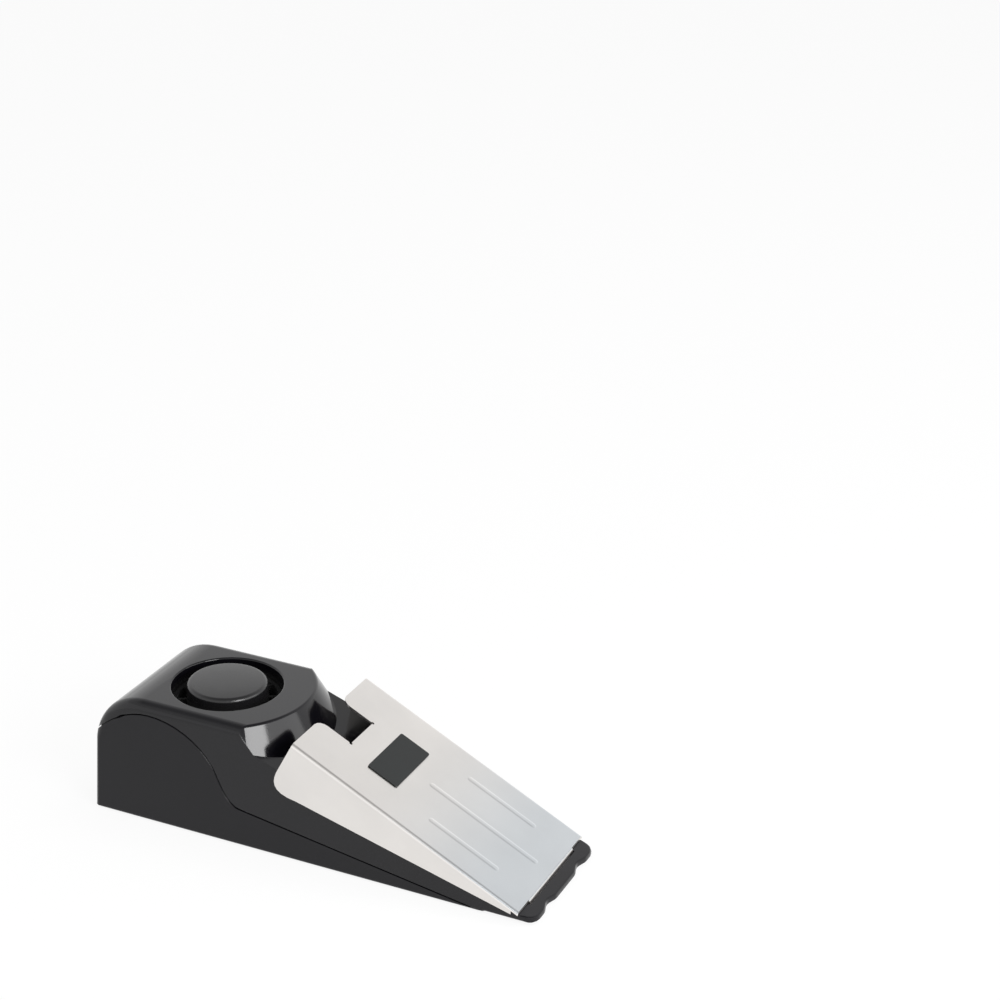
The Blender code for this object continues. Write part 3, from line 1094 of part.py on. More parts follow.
def trigger_plate():
    """The bent sheet: a channel trimmed to the flanges' outline, with notch, beads and hinge tongue."""
    end_gap = PLATE_THICKNESS * 2
    front_x = WEDGE_FRONT_X
    heel = (FLANGE_HEEL_X, FLANGE_HEEL_HEIGHT)
    toe = (FLANGE_TOE_X, FLANGE_TOE_HEIGHT)
    flange_front_x = front_x - FLANGE_FRONT_SETBACK
    under_front = plate_under(flange_front_x) - PLATE_THICKNESS / 4
    heights = (PLATE_REAR_HEIGHT + FIT_GAP, PLATE_REAR_HEIGHT - FIT_GAP)
    outline = [(PLATE_REAR_X, heights[0]), (PLATE_REAR_X, heights[1]), heel]
    outline += bezier(heel, FLANGE_CORNER_SHARES, toe, FLANGE_STEPS)
    outline += [
        (flange_front_x, FLANGE_FRONT_HEIGHT),
        (flange_front_x, under_front),
        (front_x, plate_under(front_x) - PLATE_THICKNESS / 4),
        (front_x, plate_top(front_x) + end_gap),
        (PLATE_REAR_X + end_gap, PLATE_REAR_HEIGHT + end_gap),
    ]
    bm = bmesh.new()
    add_prism(bm, outline, "XZ", -BODY_WIDTH, BODY_WIDTH)
    plate = solid("trigger_plate", bm, STEEL_SHEET, HINGE)

    deep = PLATE_REAR_HEIGHT
    flat = PLATE_HALF - PLATE_THICKNESS
    centre = (PLATE_HALF - PLATE_BEND_RADIUS, -PLATE_BEND_RADIUS)
    outside = arc(centre, PLATE_BEND_RADIUS, 0, 90, CORNER_STEPS)
    inside = arc(centre, PLATE_BEND_RADIUS - PLATE_THICKNESS, 90, 0, CORNER_STEPS)
    section = [(PLATE_HALF, -deep), *outside]
    section += [(-u, v) for u, v in reversed(outside)] + [(-PLATE_HALF, -deep), (-flat, -deep)]
    section += [(-u, v) for u, v in reversed(inside)] + [*inside, (flat, -deep)]
    length = (front_x - PLATE_REAR_X) / math.cos(PLATE_TILT)
    bm = bmesh.new()
    add_prism(bm, section, "YZ", -OVERRUN * 3, length + OVERRUN)
    bmesh.ops.transform(bm, matrix=in_plate_plane(PLATE_REAR_X, 0), verts=bm.verts)
    boolean(plate, "INTERSECT", solid("plate_channel", bm))

    tongue_top = TONGUE_REACH + TONGUE_BEND
    start_x = front_x - tongue_top
    tip_x = front_x + TONGUE_REACH
    back_x = tip_x - PLATE_THICKNESS
    foot_x = tip_x - TONGUE_FOOT_LENGTH
    foot_top = TONGUE_FOOT_HEIGHT + PLATE_THICKNESS
    shoulder = plate_top(front_x) - TONGUE_BEND
    tongue = [
        (start_x, plate_top(start_x) - PLATE_DROP / 8),
        (front_x, plate_top(front_x) - PLATE_DROP / 8),
        (tip_x - TONGUE_BEND / 2, shoulder),
        (tip_x, shoulder - TONGUE_BEND),
        (tip_x, TONGUE_FOOT_HEIGHT),
        (foot_x, TONGUE_FOOT_HEIGHT),
        (foot_x, foot_top),
        (back_x, foot_top),
        (back_x, plate_under(back_x) + PLATE_DROP / 8),
        (start_x, plate_under(start_x) + PLATE_DROP / 8),
    ]
    bm = bmesh.new()
    add_prism(bm, tongue, "XZ", -TONGUE_HALF, TONGUE_HALF)
    boolean(plate, "UNION", solid("plate_tongue", bm))

    notch = bmesh.new()
    far_y = NOTCH_HALF + TAB_RADIUS
    tab = arc((PLATE_REAR_X + TAB_RADIUS, -far_y), TAB_RADIUS, 180, 90, CORNER_STEPS)
    relief = arc((PLATE_REAR_X + NOTCH_LENGTH, -NOTCH_HALF), NOTCH_RELIEF, 180, 450, CORNER_STEPS * 2)
    near_side = [(PLATE_REAR_X - OVERRUN, -far_y), *tab, *relief]
    far_side = [(x, -y) for x, y in reversed(near_side)]
    add_prism(notch, near_side + far_side, "XY", 0, PLATE_REAR_HEIGHT + OVERRUN)
    boolean(plate, "DIFFERENCE", solid("plate_notch", notch))

    beads = bmesh.new()
    rows = (
        (-SIDE_BEAD_Y, SIDE_BEAD_FROM, SIDE_BEAD_TO),
        (0, MIDDLE_BEAD_FROM, MIDDLE_BEAD_TO),
        (SIDE_BEAD_Y, SIDE_BEAD_FROM, SIDE_BEAD_TO),
    )
    for middle, start, end in rows:
        whole = add_bead(beads, (end - start) / math.cos(PLATE_TILT))
        move = in_plate_plane(start, 0) @ Matrix.Translation((0, middle, 0))
        bmesh.ops.transform(beads, matrix=move, verts=whole)
    boolean(plate, "UNION", solid("plate_beads", beads))

    bm = bmesh.new()
    run = (LABEL_TO - LABEL_FROM) / math.cos(PLATE_TILT)
    low = LABEL_GLUE
    outline = rounded(0, run, -LABEL_HALF, LABEL_HALF, LABEL_CORNER)
    add_prism(bm, outline, "XY", low, low + LABEL_THICKNESS)
    bmesh.ops.transform(bm, matrix=in_plate_plane(LABEL_FROM, 0), verts=bm.verts)
    solid("plate_label", bm, LABEL_BLACK, HINGE)


def plunger_and_springs():
    """The plunger under the plate, domed on top, and the two coil springs beside it."""
    reach = PLUNGER_RADIUS + FIT_GAP
    dome_z = plate_under(PLUNGER_X) - reach / math.cos(PLATE_TILT)
    collar_bottom = COLLAR_TOP - PLUNGER_COLLAR
    dome = [
        (PLUNGER_RADIUS * math.cos(t), dome_z + PLUNGER_RADIUS * math.sin(t))
        for t in (math.radians(90 * i / CORNER_STEPS) for i in range(CORNER_STEPS))
    ]
    profile = [
        (0, NIB_BOTTOM),
        (PLUNGER_NIB_RADIUS, NIB_BOTTOM),
        (PLUNGER_NIB_RADIUS, collar_bottom),
        (PLUNGER_COLLAR_RADIUS, collar_bottom),
        (PLUNGER_COLLAR_RADIUS, COLLAR_TOP),
        (PLUNGER_RADIUS, COLLAR_TOP),
        *dome,
        (0, dome_z + PLUNGER_RADIUS),
    ]
    bm = bmesh.new()
    add_turned(bm, profile, (PLUNGER_X, 0), SMALL_STEPS)
    solid("trigger_plunger", bm, CERAMIC_WHITE, (PLUNGER_X, 0, GUIDE_BOTTOM))

    for name, (x, y) in SPRING_PLACES.items():
        low = SPRING_SEAT_HEIGHT + FIT_GAP + SPRING_WIRE_RADIUS
        edge_x = x + SPRING_RADIUS + SPRING_WIRE_RADIUS
        high = plate_under(edge_x) - FIT_GAP - SPRING_WIRE_RADIUS
        count = SPRING_TURNS * SPRING_POINTS
        points = []
        for i in range(count + 1):
            turn = 2 * math.pi * i / SPRING_POINTS
            spot = (x + SPRING_RADIUS * math.cos(turn), y + SPRING_RADIUS * math.sin(turn))
            points.append((*spot, low + (high - low) * i / count))
        # Points under half a turn apart are neighbours on the wire, so only later ones count
        gaps = [
            (Vector(far) - Vector(near)).length - 2 * SPRING_WIRE_RADIUS
            for i, near in enumerate(points)
            for far in points[i + SPRING_POINTS // 2 :]
        ]
        print(name, "least gap to itself in metres:", round(min(gaps), 6))
        tube(name, points, SPRING_WIRE_RADIUS, SPRING_STEEL, (x, y, SPRING_SEAT_HEIGHT))


def leaf_switch():
    """The trigger switch: a block with two springy leaves under the plunger's nib."""
    block_front = LEAF_PIVOT_X - FIT_GAP
    bm = bmesh.new()
    low = FLOOR + FIT_GAP
    run = (block_front - LEAF_BLOCK_LENGTH, block_front)
    outline = rounded(*run, low, LEAF_BLOCK_TOP, LEAF_THICKNESS)
    add_prism(bm, outline, "XZ", -LEAF_BLOCK_HALF, LEAF_BLOCK_HALF)
    solid("leaf_block", bm, EPOXY_BLACK)

    leaves = (
        ("leaf_upper", LEAF_TOP, LEAF_UPPER_LENGTH),
        ("leaf_lower", LEAF_TOP - LEAF_SPACING, LEAF_LOWER_LENGTH),
    )
    for name, top, length in leaves:
        bm = bmesh.new()
        outline = rectangle(LEAF_PIVOT_X, LEAF_PIVOT_X + length, top - LEAF_THICKNESS, top)
        add_prism(bm, outline, "XZ", -LEAF_HALF, LEAF_HALF)
        leaf = solid(name, bm, BRASS, (LEAF_PIVOT_X, 0, top - LEAF_THICKNESS / 2))
        if name == "leaf_upper":
            rivet = bmesh.new()
            bottom = top - LEAF_SPACING + FIT_GAP
            spot = (LEAF_CONTACT_X, 0)
            add_cylinder(rivet, spot, LEAF_CONTACT_RADIUS, bottom, top - LEAF_THICKNESS / 2, TINY_STEPS)
            boolean(leaf, "UNION", solid("leaf_rivet", rivet))


def battery_and_cover():
    """The 9 V block with its terminals and snap, and the cover that swings down from the underside."""
    middle = BATTERY_BOTTOM + BATTERY_HEIGHT / 2
    half = BATTERY_WIDTH / 2
    bm = bmesh.new()
    outline = rounded(-half, half, BATTERY_BOTTOM, BATTERY_TOP, BATTERY_EDGE)
    add_prism(bm, outline, "YZ", BATTERY_X, BATTERY_X + BATTERY_LENGTH)
    solid("battery", bm, BATTERY_WRAP)

    ends = (BATTERY_X - TERMINAL_REACH, BATTERY_X - FIT_GAP)
    terminals = (
        ("terminal_round", 1, TERMINAL_ROUND_RADIUS, SMALL_STEPS),
        ("terminal_hex", -1, TERMINAL_HEX_RADIUS, HEX_SIDES),
    )
    for name, side, radius, sides in terminals:
        bm = bmesh.new()
        ring = arc((side * TERMINAL_SPACING / 2, middle), radius, 0, 360, sides)[:-1]
        add_prism(bm, ring, "YZ", *ends)
        solid(name, bm, SCREW_STEEL)

    bm = bmesh.new()
    front = ends[0] - FIT_GAP
    low, high = middle - SNAP_HEIGHT / 2, middle + SNAP_HEIGHT / 2
    outline = rounded(-SNAP_HALF, SNAP_HALF, low, high, SNAP_HEIGHT / 4)
    add_prism(bm, outline, "YZ", front - SNAP_THICKNESS, front)
    solid("battery_snap", bm, EPOXY_BLACK)

    bm = bmesh.new()
    outline = rectangle(COVER_REAR_X, COVER_FRONT_X, -COVER_HALF, COVER_HALF)
    add_prism(bm, outline, "XY", 0, COVER_THICKNESS)
    cover = solid("battery_cover", bm, LOWER_PLASTIC, COVER_PIVOT)
    extras = bmesh.new()
    tab_top = COVER_THICKNESS + COVER_TAB_THICKNESS - COVER_TAB_DROP
    for side in (-1, 1):
        spot = side * COVER_TAB_Y
        run = (COVER_FRONT_X - COVER_TAB_REACH, COVER_PIVOT[0] + COVER_TAB_REACH)
        tab = rectangle(*run, COVER_THICKNESS - COVER_TAB_DROP, tab_top)
        add_prism(extras, tab, "XZ", spot - COVER_TAB_HALF, spot + COVER_TAB_HALF)
    latch_x = OPENING_REAR_X + FIT_GAP
    latch = rectangle(latch_x, latch_x + COVER_LATCH_THICKNESS, COVER_THICKNESS / 2, COVER_LATCH_HEIGHT)
    add_prism(extras, latch, "XZ", -COVER_LATCH_HALF, COVER_LATCH_HALF)
    boolean(cover, "UNION", solid("cover_extras", extras))
    grips = bmesh.new()
    for i in range(COVER_GRIPS):
        start = COVER_REAR_X + COVER_GRIP_PITCH * (i + 1)
        groove = rectangle(start, start + COVER_GRIP_WIDTH, -COVER_GRIP_HALF, COVER_GRIP_HALF)
        add_prism(grips, groove, "XY", -OVERRUN, COVER_GRIP_DEPTH)
    boolean(cover, "DIFFERENCE", solid("cover_grips", grips))

    bm = bmesh.new()
    start = BATTERY_X + (BATTERY_LENGTH - FOAM_PAD_LENGTH) / 2
    foam_low = COVER_THICKNESS + FIT_GAP
    outline = rectangle(start, start + FOAM_PAD_LENGTH, -FOAM_PAD_HALF, FOAM_PAD_HALF)
    add_prism(bm, outline, "XY", foam_low, foam_low + FOAM_PAD_THICKNESS)
    solid("battery_foam", bm, FOAM_GREY, COVER_PIVOT)


def circuit():
    """The board on its four posts, with the parts that drive the siren."""
    bm = bmesh.new()
    outline = rectangle(BOARD_REAR_X, BOARD_FRONT_X, -BOARD_HALF, BOARD_HALF)
    add_prism(bm, outline, "XY", BOARD_BOTTOM, BOARD_TOP)
    board = solid("circuit_board", bm, BOARD_GREEN)
    holes = bmesh.new()
    for number, (x, y) in enumerate(BOARD_SCREWS, 1):
        low, high = BOARD_BOTTOM - OVERRUN / 4, BOARD_TOP + OVERRUN / 4
        add_cylinder(holes, (x, y), BOARD_SCREW_RADIUS + FIT_GAP, low, high, SMALL_STEPS)
        seat = BOARD_TOP + FIT_GAP
        profile = [
            (0, seat + BOARD_SCREW_HEAD),
            (BOARD_SCREW_HEAD_RADIUS, seat + BOARD_SCREW_HEAD),
            (BOARD_SCREW_HEAD_RADIUS, seat),
            (BOARD_SCREW_RADIUS, seat),
            (BOARD_SCREW_RADIUS, seat - BOARD_SCREW_LENGTH + BOARD_SCREW_RADIUS),
            (0, seat - BOARD_SCREW_LENGTH),
        ]
        bm = bmesh.new()
        add_turned(bm, profile, (x, y), TINY_STEPS)
        solid(f"board_screw_{number}", bm, SCREW_STEEL)
    boolean(board, "DIFFERENCE", solid("board_holes", holes))

    coil = (COIL_X, COIL_Y)
    top = ON_BOARD + COIL_HEIGHT
    bm = bmesh.new()
    profile = [
        (0, ON_BOARD),
        (COIL_RADIUS, ON_BOARD),
        (COIL_RADIUS, ON_BOARD + COIL_FLANGE),
        (COIL_CORE_RADIUS, ON_BOARD + COIL_FLANGE),
        (COIL_CORE_RADIUS, top - COIL_FLANGE),
        (COIL_RADIUS, top - COIL_FLANGE),
        (COIL_RADIUS, top),
        (0, top),
    ]
    add_turned(bm, profile, coil, SMALL_STEPS)
    solid("coil_core", bm, FERRITE)
    bm = bmesh.new()
    heights = (ON_BOARD + COIL_FLANGE + FIT_GAP, top - COIL_FLANGE - FIT_GAP)
    add_ring(bm, coil, COIL_CORE_RADIUS + FIT_GAP, COIL_RADIUS - FIT_GAP, *heights, SMALL_STEPS)
    solid("coil_winding", bm, COPPER)

    bm = bmesh.new()
    run = (CHIP_X - CHIP_LENGTH / 2, CHIP_X + CHIP_LENGTH / 2)
    across = (CHIP_Y - CHIP_WIDTH / 2, CHIP_Y + CHIP_WIDTH / 2)
    add_prism(bm, rounded(*run, *across, FIT_GAP), "XY", ON_BOARD, ON_BOARD + CHIP_HEIGHT)
    solid("alarm_chip", bm, EPOXY_BLACK)
    bm = bmesh.new()
    spot = (CAPACITOR_X, CAPACITOR_Y)
    add_cylinder(bm, spot, CAPACITOR_RADIUS, ON_BOARD, ON_BOARD + CAPACITOR_HEIGHT, SMALL_STEPS)
    solid("capacitor", bm, SLEEVE_BLUE)
    bm = bmesh.new()
    spot = (TRANSISTOR_X, TRANSISTOR_Y)
    half_round = arc(spot, TRANSISTOR_RADIUS, -40, 220, SMALL_STEPS)
    add_prism(bm, half_round, "XY", ON_BOARD, ON_BOARD + TRANSISTOR_HEIGHT)
    solid("transistor", bm, EPOXY_BLACK)
    for i in range(RESISTORS):
        bm = bmesh.new()
        centre = (RESISTOR_X + RESISTOR_PITCH * i, ON_BOARD + RESISTOR_RADIUS)
        ring = arc(centre, RESISTOR_RADIUS, 0, 360, TINY_STEPS)[:-1]
        across = (RESISTOR_Y - RESISTOR_LENGTH / 2, RESISTOR_Y + RESISTOR_LENGTH / 2)
        add_prism(bm, ring, "XZ", *across)
        solid(f"resistor_{i + 1}", bm, RESISTOR_TAN)


def power_switch():
    """The slide switch behind the rear wall and the knob that comes through it."""
    front = WALL + FIT_GAP
    heights = (SWITCH_HEIGHT - SWITCH_TALL / 2, SWITCH_HEIGHT + SWITCH_TALL / 2)
    bm = bmesh.new()
    add_prism(bm, rectangle(-SWITCH_HALF, SWITCH_HALF, *heights), "YZ", front, front + SWITCH_DEPTH)
    body = solid("power_switch", bm, SCREW_STEEL)
    mouth = bmesh.new()
    tall = KNOB_TALL / 2 + FIT_GAP
    reach = (KNOB_WIDTH + KNOB_TRAVEL) / 2 + FIT_GAP
    slot = rectangle(-reach, reach, SWITCH_HEIGHT - tall, SWITCH_HEIGHT + tall)
    add_prism(mouth, slot, "YZ", front - OVERRUN / 4, front + SWITCH_MOUTH)
    boolean(body, "DIFFERENCE", solid("switch_mouth", mouth))

    bm = bmesh.new()
    off = -KNOB_TRAVEL / 2
    across = (off - KNOB_WIDTH / 2, off + KNOB_WIDTH / 2)
    tall = (SWITCH_HEIGHT - KNOB_TALL / 2, SWITCH_HEIGHT + KNOB_TALL / 2)
    tip_x = SWITCH_FACE_X + KNOB_SINK
    add_prism(bm, rectangle(*across, *tall), "YZ", tip_x, front + SWITCH_MOUTH - FIT_GAP)
    solid("power_knob", bm, KNOB_BLACK, (tip_x, off, SWITCH_HEIGHT))


def casing_screws_and_pads():
    """The four casing screws in the underside, and the rubber that the casing stands on."""
    head = (SCREW_HEAD_RADIUS, SCREW_HEAD)
    for number, centre in enumerate(CASING_SCREWS, 1):
        bm = bmesh.new()
        add_screw(bm, centre, SCREW_SEAT - FIT_GAP, head, (SCREW_RADIUS, SCREW_LENGTH), TINY_STEPS)
        solid(f"housing_screw_{number}", bm, SCREW_STEEL)
    for name, outline in pad_outlines(FIT_GAP).items():
        bm = bmesh.new()
        add_prism(bm, outline, "XY", -PAD_PROUD, PAD_SINK - FIT_GAP)
        solid(name, bm, RUBBER_BLACK)


def leads():
    """The eight short leads; both of a pair take the same route on opposite sides of the middle."""
    snap_x = BATTERY_X - TERMINAL_REACH - FIT_GAP - SNAP_THICKNESS / 2
    snap_top = BATTERY_BOTTOM + BATTERY_HEIGHT / 2 + SNAP_HEIGHT / 2 + FIT_GAP
    switch_x = WALL + FIT_GAP + SWITCH_DEPTH + FIT_GAP
    block_x = LEAF_PIVOT_X - FIT_GAP - LEAF_BLOCK_LENGTH / 2
    routes = {
        "battery_lead": (
            BATTERY_LEAD_Y,
            (snap_x, snap_top),
            (snap_x, 0.0200),
            (0.0136, 0.0228),
            (0.0150, 0.0247),
            (0.0168, 0.0249),
            (0.0180, 0.0240),
            (0.0183, ON_BOARD),
        ),
        "power_lead": (
            POWER_LEAD_Y,
            (switch_x, SWITCH_HEIGHT),
            (0.0080, 0.0146),
            (0.0088, 0.0172),
            (0.0090, 0.0205),
            (0.0102, 0.0233),
            (0.0130, 0.0247),
            (0.0158, 0.0247),
            (0.0172, 0.0240),
            (0.0176, ON_BOARD),
        ),
        "trigger_lead": (
            TRIGGER_LEAD_Y,
            (block_x, LEAF_BLOCK_TOP + FIT_GAP),
            (0.0808, 0.0150),
            (0.0795, 0.0180),
            (0.0770, 0.0208),
            (0.0735, 0.0232),
            (0.0700, 0.0247),
            (0.0670, 0.0250),
            (0.0648, 0.0243),
            (0.0642, ON_BOARD),
        ),
    }
    for pair, (across, *route) in routes.items():
        for colour, side, look in (("red", 1, LEAD_RED), ("black", -1, LEAD_BLACK)):
            points = [(x, side * across, z) for x, z in route]
            tube(f"{pair}_{colour}", smooth_route(points), LEAD_RADIUS, look)
    ceramic_low = CERAMIC_TOP - CERAMIC_THICKNESS - FIT_GAP
    disc_low = PIEZO_TOP - PIEZO_THICKNESS - FIT_GAP
    drops = (
        ("piezo_lead_red", PIEZO_LEAD_X, ceramic_low, LEAD_RED),
        ("piezo_lead_black", DISC_LEAD_X, disc_low, LEAD_BLACK),
    )
    for name, x, high, look in drops:
        points = [(x, 0, high), (x, 0, (high + ON_BOARD) / 2), (x, 0, ON_BOARD)]
        tube(name, smooth_route(points), LEAD_RADIUS, look)


lower_housing()
upper_housing()
siren_grille()
sounder()
trigger_plate()
plunger_and_springs()
leaf_switch()
battery_and_cover()
circuit()
power_switch()
casing_screws_and_pads()
leads()
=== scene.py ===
import math

import bmesh
import bpy
from mathutils import Matrix, Vector


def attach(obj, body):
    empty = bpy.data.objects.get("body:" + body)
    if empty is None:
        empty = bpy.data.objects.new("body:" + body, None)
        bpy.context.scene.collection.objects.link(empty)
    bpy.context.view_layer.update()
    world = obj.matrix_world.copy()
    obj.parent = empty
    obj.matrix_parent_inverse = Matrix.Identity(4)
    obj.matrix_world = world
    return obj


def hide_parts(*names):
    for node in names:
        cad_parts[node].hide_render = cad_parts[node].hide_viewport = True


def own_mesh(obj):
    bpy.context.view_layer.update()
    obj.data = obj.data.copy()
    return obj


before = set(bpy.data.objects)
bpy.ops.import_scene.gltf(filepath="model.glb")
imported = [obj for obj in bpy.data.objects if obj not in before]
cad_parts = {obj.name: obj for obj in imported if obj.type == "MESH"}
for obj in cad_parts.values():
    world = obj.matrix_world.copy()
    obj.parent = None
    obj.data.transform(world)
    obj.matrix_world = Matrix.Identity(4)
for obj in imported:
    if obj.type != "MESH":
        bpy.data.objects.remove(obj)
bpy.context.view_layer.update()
scene = bpy.context.scene
scene.view_settings.view_transform = "Standard"

# The viewpoint: above the near side of the nose, a little under half a metre away, with a slight roll.
# The lens is long, so the far side of the casing is hardly smaller than the near one.
CAMERA_PLACE = (0.30015, -0.5433, 0.3815)
azimuth, elevation, roll = (math.radians(degrees) for degrees in (24.524, 23.457, 1.062))
back = Vector(
    (math.sin(azimuth) * math.cos(elevation), -math.cos(azimuth) * math.cos(elevation), math.sin(elevation))
)
level = Vector((math.cos(azimuth), math.sin(azimuth), 0))
upright = back.cross(level)
right = level * math.cos(roll) + upright * math.sin(roll)
camera = bpy.data.objects.new("camera", bpy.data.cameras.new("camera"))
camera.data.sensor_width = 36
camera.data.lens = 83.07
turned = Matrix((right, back.cross(right), back)).transposed().to_4x4()
camera.matrix_world = Matrix.Translation(CAMERA_PLACE) @ turned
scene.collection.objects.link(camera)
scene.camera = camera

# The setting: a white floor with a faint shadow, and a room that is white low down and dim overhead.
# Soft boxes stand at the front right and straight ahead. Two more, at the left and above, only light the
# object: they leave no mirror image on it.
FLOOR_HALF = 4
FLOOR_WHITENESS = 0.90
ROOM_LIGHT = 0.55
MIRRORED_LIGHT = 1.22
CEILING_SHADES = ((0.50, 1.0), (0.575, 0.77), (0.70, 0.75), (0.95, 0.29))
floor_mesh = bpy.data.meshes.new("floor")
bm = bmesh.new()
bmesh.ops.create_grid(bm, x_segments=1, y_segments=1, size=FLOOR_HALF)
bm.to_mesh(floor_mesh)
bm.free()
floor = bpy.data.objects.new("floor", floor_mesh)
scene.collection.objects.link(floor)

paper = bpy.data.materials.new("white_floor")
paper.use_nodes = True
tree = paper.node_tree
paint = tree.nodes["Principled BSDF"]
paint.inputs["Base Color"].default_value = (0.86, 0.86, 0.86, 1)
paint.inputs["Roughness"].default_value = 0.9
glow = tree.nodes.new("ShaderNodeEmission")
glow.inputs["Color"].default_value = (1, 1, 1, 1)
glow.inputs["Strength"].default_value = 1
rays = tree.nodes.new("ShaderNodeLightPath")
seen = tree.nodes.new("ShaderNodeMath")
seen.operation = "MAXIMUM"
share = tree.nodes.new("ShaderNodeMath")
share.operation = "MULTIPLY"
share.inputs[1].default_value = FLOOR_WHITENESS
blend = tree.nodes.new("ShaderNodeMixShader")
tree.links.new(rays.outputs["Is Camera Ray"], seen.inputs[0])
tree.links.new(rays.outputs["Is Glossy Ray"], seen.inputs[1])
tree.links.new(seen.outputs[0], share.inputs[0])
tree.links.new(share.outputs[0], blend.inputs[0])
tree.links.new(paint.outputs[0], blend.inputs[1])
tree.links.new(glow.outputs[0], blend.inputs[2])
tree.links.new(blend.outputs[0], tree.nodes["Material Output"].inputs["Surface"])
floor_mesh.materials.append(paper)

world = bpy.data.worlds.new("white_room")
scene.world = world
world.use_nodes = True
tree = world.node_tree
room = tree.nodes["Background"]
room.inputs["Color"].default_value = (1, 1, 1, 1)
rays = tree.nodes.new("ShaderNodeLightPath")
direction = tree.nodes.new("ShaderNodeTexCoord")
upward = tree.nodes.new("ShaderNodeSeparateXYZ")
ceiling = tree.nodes.new("ShaderNodeValToRGB")
ceiling.color_ramp.interpolation = "EASE"
stops = ceiling.color_ramp.elements
while len(stops) < len(CEILING_SHADES):
    stops.new(CEILING_SHADES[0][0])
for stop, (height, shade) in zip(stops, CEILING_SHADES):
    stop.position = height
    stop.color = (shade, shade, shade, 1)
gain = tree.nodes.new("ShaderNodeMath")
gain.operation = "MULTIPLY"
gain.inputs[1].default_value = MIRRORED_LIGHT
mirrored = tree.nodes.new("ShaderNodeMix")
mirrored.inputs["A"].default_value = ROOM_LIGHT
direct = tree.nodes.new("ShaderNodeMix")
direct.inputs["B"].default_value = 1.0
tree.links.new(direction.outputs["Generated"], upward.inputs[0])
tree.links.new(upward.outputs["Z"], ceiling.inputs["Fac"])
tree.links.new(ceiling.outputs["Color"], gain.inputs[0])
tree.links.new(rays.outputs["Is Glossy Ray"], mirrored.inputs["Factor"])
tree.links.new(gain.outputs[0], mirrored.inputs["B"])
tree.links.new(rays.outputs["Is Camera Ray"], direct.inputs["Factor"])
tree.links.new(mirrored.outputs["Result"], direct.inputs["A"])
tree.links.new(direct.outputs["Result"], room.inputs["Strength"])


def soft_box(name, towards, distance, width, height, power, mirrored=True):
    """A rectangular lamp in a direction from the casing, turned to face it."""
    lamp = bpy.data.lights.new(name, "AREA")
    lamp.shape = "RECTANGLE"
    lamp.size, lamp.size_y = width, height
    lamp.energy = power
    box = bpy.data.objects.new(name, lamp)
    box.visible_glossy = mirrored
    away = Vector(towards).normalized()
    facing = away.to_track_quat("Z", "Y").to_matrix().to_4x4()
    box.matrix_world = Matrix.Translation(away * distance) @ facing
    scene.collection.objects.link(box)


soft_box("right_soft_box", (0.755, -0.401, 0.515), distance=0.9, width=0.39, height=0.30, power=4.8)
soft_box("front_soft_box", (0.87, 0.17, 0.42), distance=1.1, width=0.80, height=0.50, power=2.6)
soft_box("left_soft_box", (-0.38, -0.50, 0.78), distance=1.2, width=0.70, height=0.50, power=2.2,
         mirrored=False)
soft_box("top_soft_box", (0.35, 0.30, 1.0), distance=1.2, width=0.5, height=0.5, power=3.5,
         mirrored=False)

# The lower shell: tall curved cheeks, floor, battery bay and posts in one moulding of black ABS.
# It is semi-gloss, with the faint unevenness that a polished mould leaves.
SHARP_ANGLE = math.radians(32)
FLAT_ANGLE = math.radians(0.5)
JOIN_DISTANCE = 0.00001
SIDE_FACE_Y = 0.0228
SEAM_FROM_X, SEAM_TO_X = -0.066, 0.045
SEAM_CHAMFER = 0.00025
FACING_SIDE, FACING_ALONG = 0.95, 0.1
NOISE_MIDDLE = 0.5
GRAIN_HEIGHT = 0.00005


def merged_copy(node):
    """A CAD node's shape as one joined mesh without the cuts across its flat faces."""
    bm = bmesh.new()
    bm.from_mesh(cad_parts[node].data)
    bmesh.ops.remove_doubles(bm, verts=bm.verts, dist=JOIN_DISTANCE)
    bmesh.ops.dissolve_limit(bm, angle_limit=FLAT_ANGLE, verts=bm.verts, edges=bm.edges)
    return bm


def mark_seam(bm):
    """Marks the sharp edges around the flat outer sides, where the two shells meet."""
    weight = bm.edges.layers.float.new("bevel_weight_edge")
    for edge in bm.edges:
        sideways = sorted(abs(face.normal.y) for face in edge.link_faces)
        outer = min(abs(vert.co.y) for vert in edge.verts) > SIDE_FACE_Y
        between = SEAM_FROM_X < edge.verts[0].co.x < SEAM_TO_X
        if outer and between and sideways[0] < FACING_ALONG and sideways[1] > FACING_SIDE:
            edge[weight] = 1
    return bm


def finished_piece(name, bm, material, body, chamfer=0, kept_sharp=()):
    """A visible piece: smooth but for its sharp edges, with flat faces that stay flat."""
    for face in bm.faces:
        face.smooth = True
    for edge in bm.edges:
        edge.smooth = edge.calc_face_angle(0) < SHARP_ANGLE and edge not in kept_sharp
    mesh = bpy.data.meshes.new(name)
    bm.to_mesh(mesh)
    bm.free()
    mesh.materials.append(material)
    obj = bpy.data.objects.new(name, mesh)
    scene.collection.objects.link(obj)
    if chamfer:
        broken = obj.modifiers.new("broken_edges", "BEVEL")
        broken.width = chamfer
        broken.segments = 2
        broken.limit_method = "WEIGHT"
        broken.use_clamp_overlap = False
    flats = obj.modifiers.new("flats", "WEIGHTED_NORMAL")
    flats.keep_sharp = True
    flats.weight = 80
    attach(obj, body)
    return obj


def new_finish(name, colour, roughness, metallic=0.0, ior=1.5):
    """A material, with the values that are the same all over its surface."""
    material = bpy.data.materials.new(name)
    material.use_nodes = True
    shader = material.node_tree.nodes["Principled BSDF"]
    shader.inputs["Base Color"].default_value = (*colour, 1)
    shader.inputs["Roughness"].default_value = roughness
    shader.inputs["Metallic"].default_value = metallic
    shader.inputs["IOR"].default_value = ior
    return material


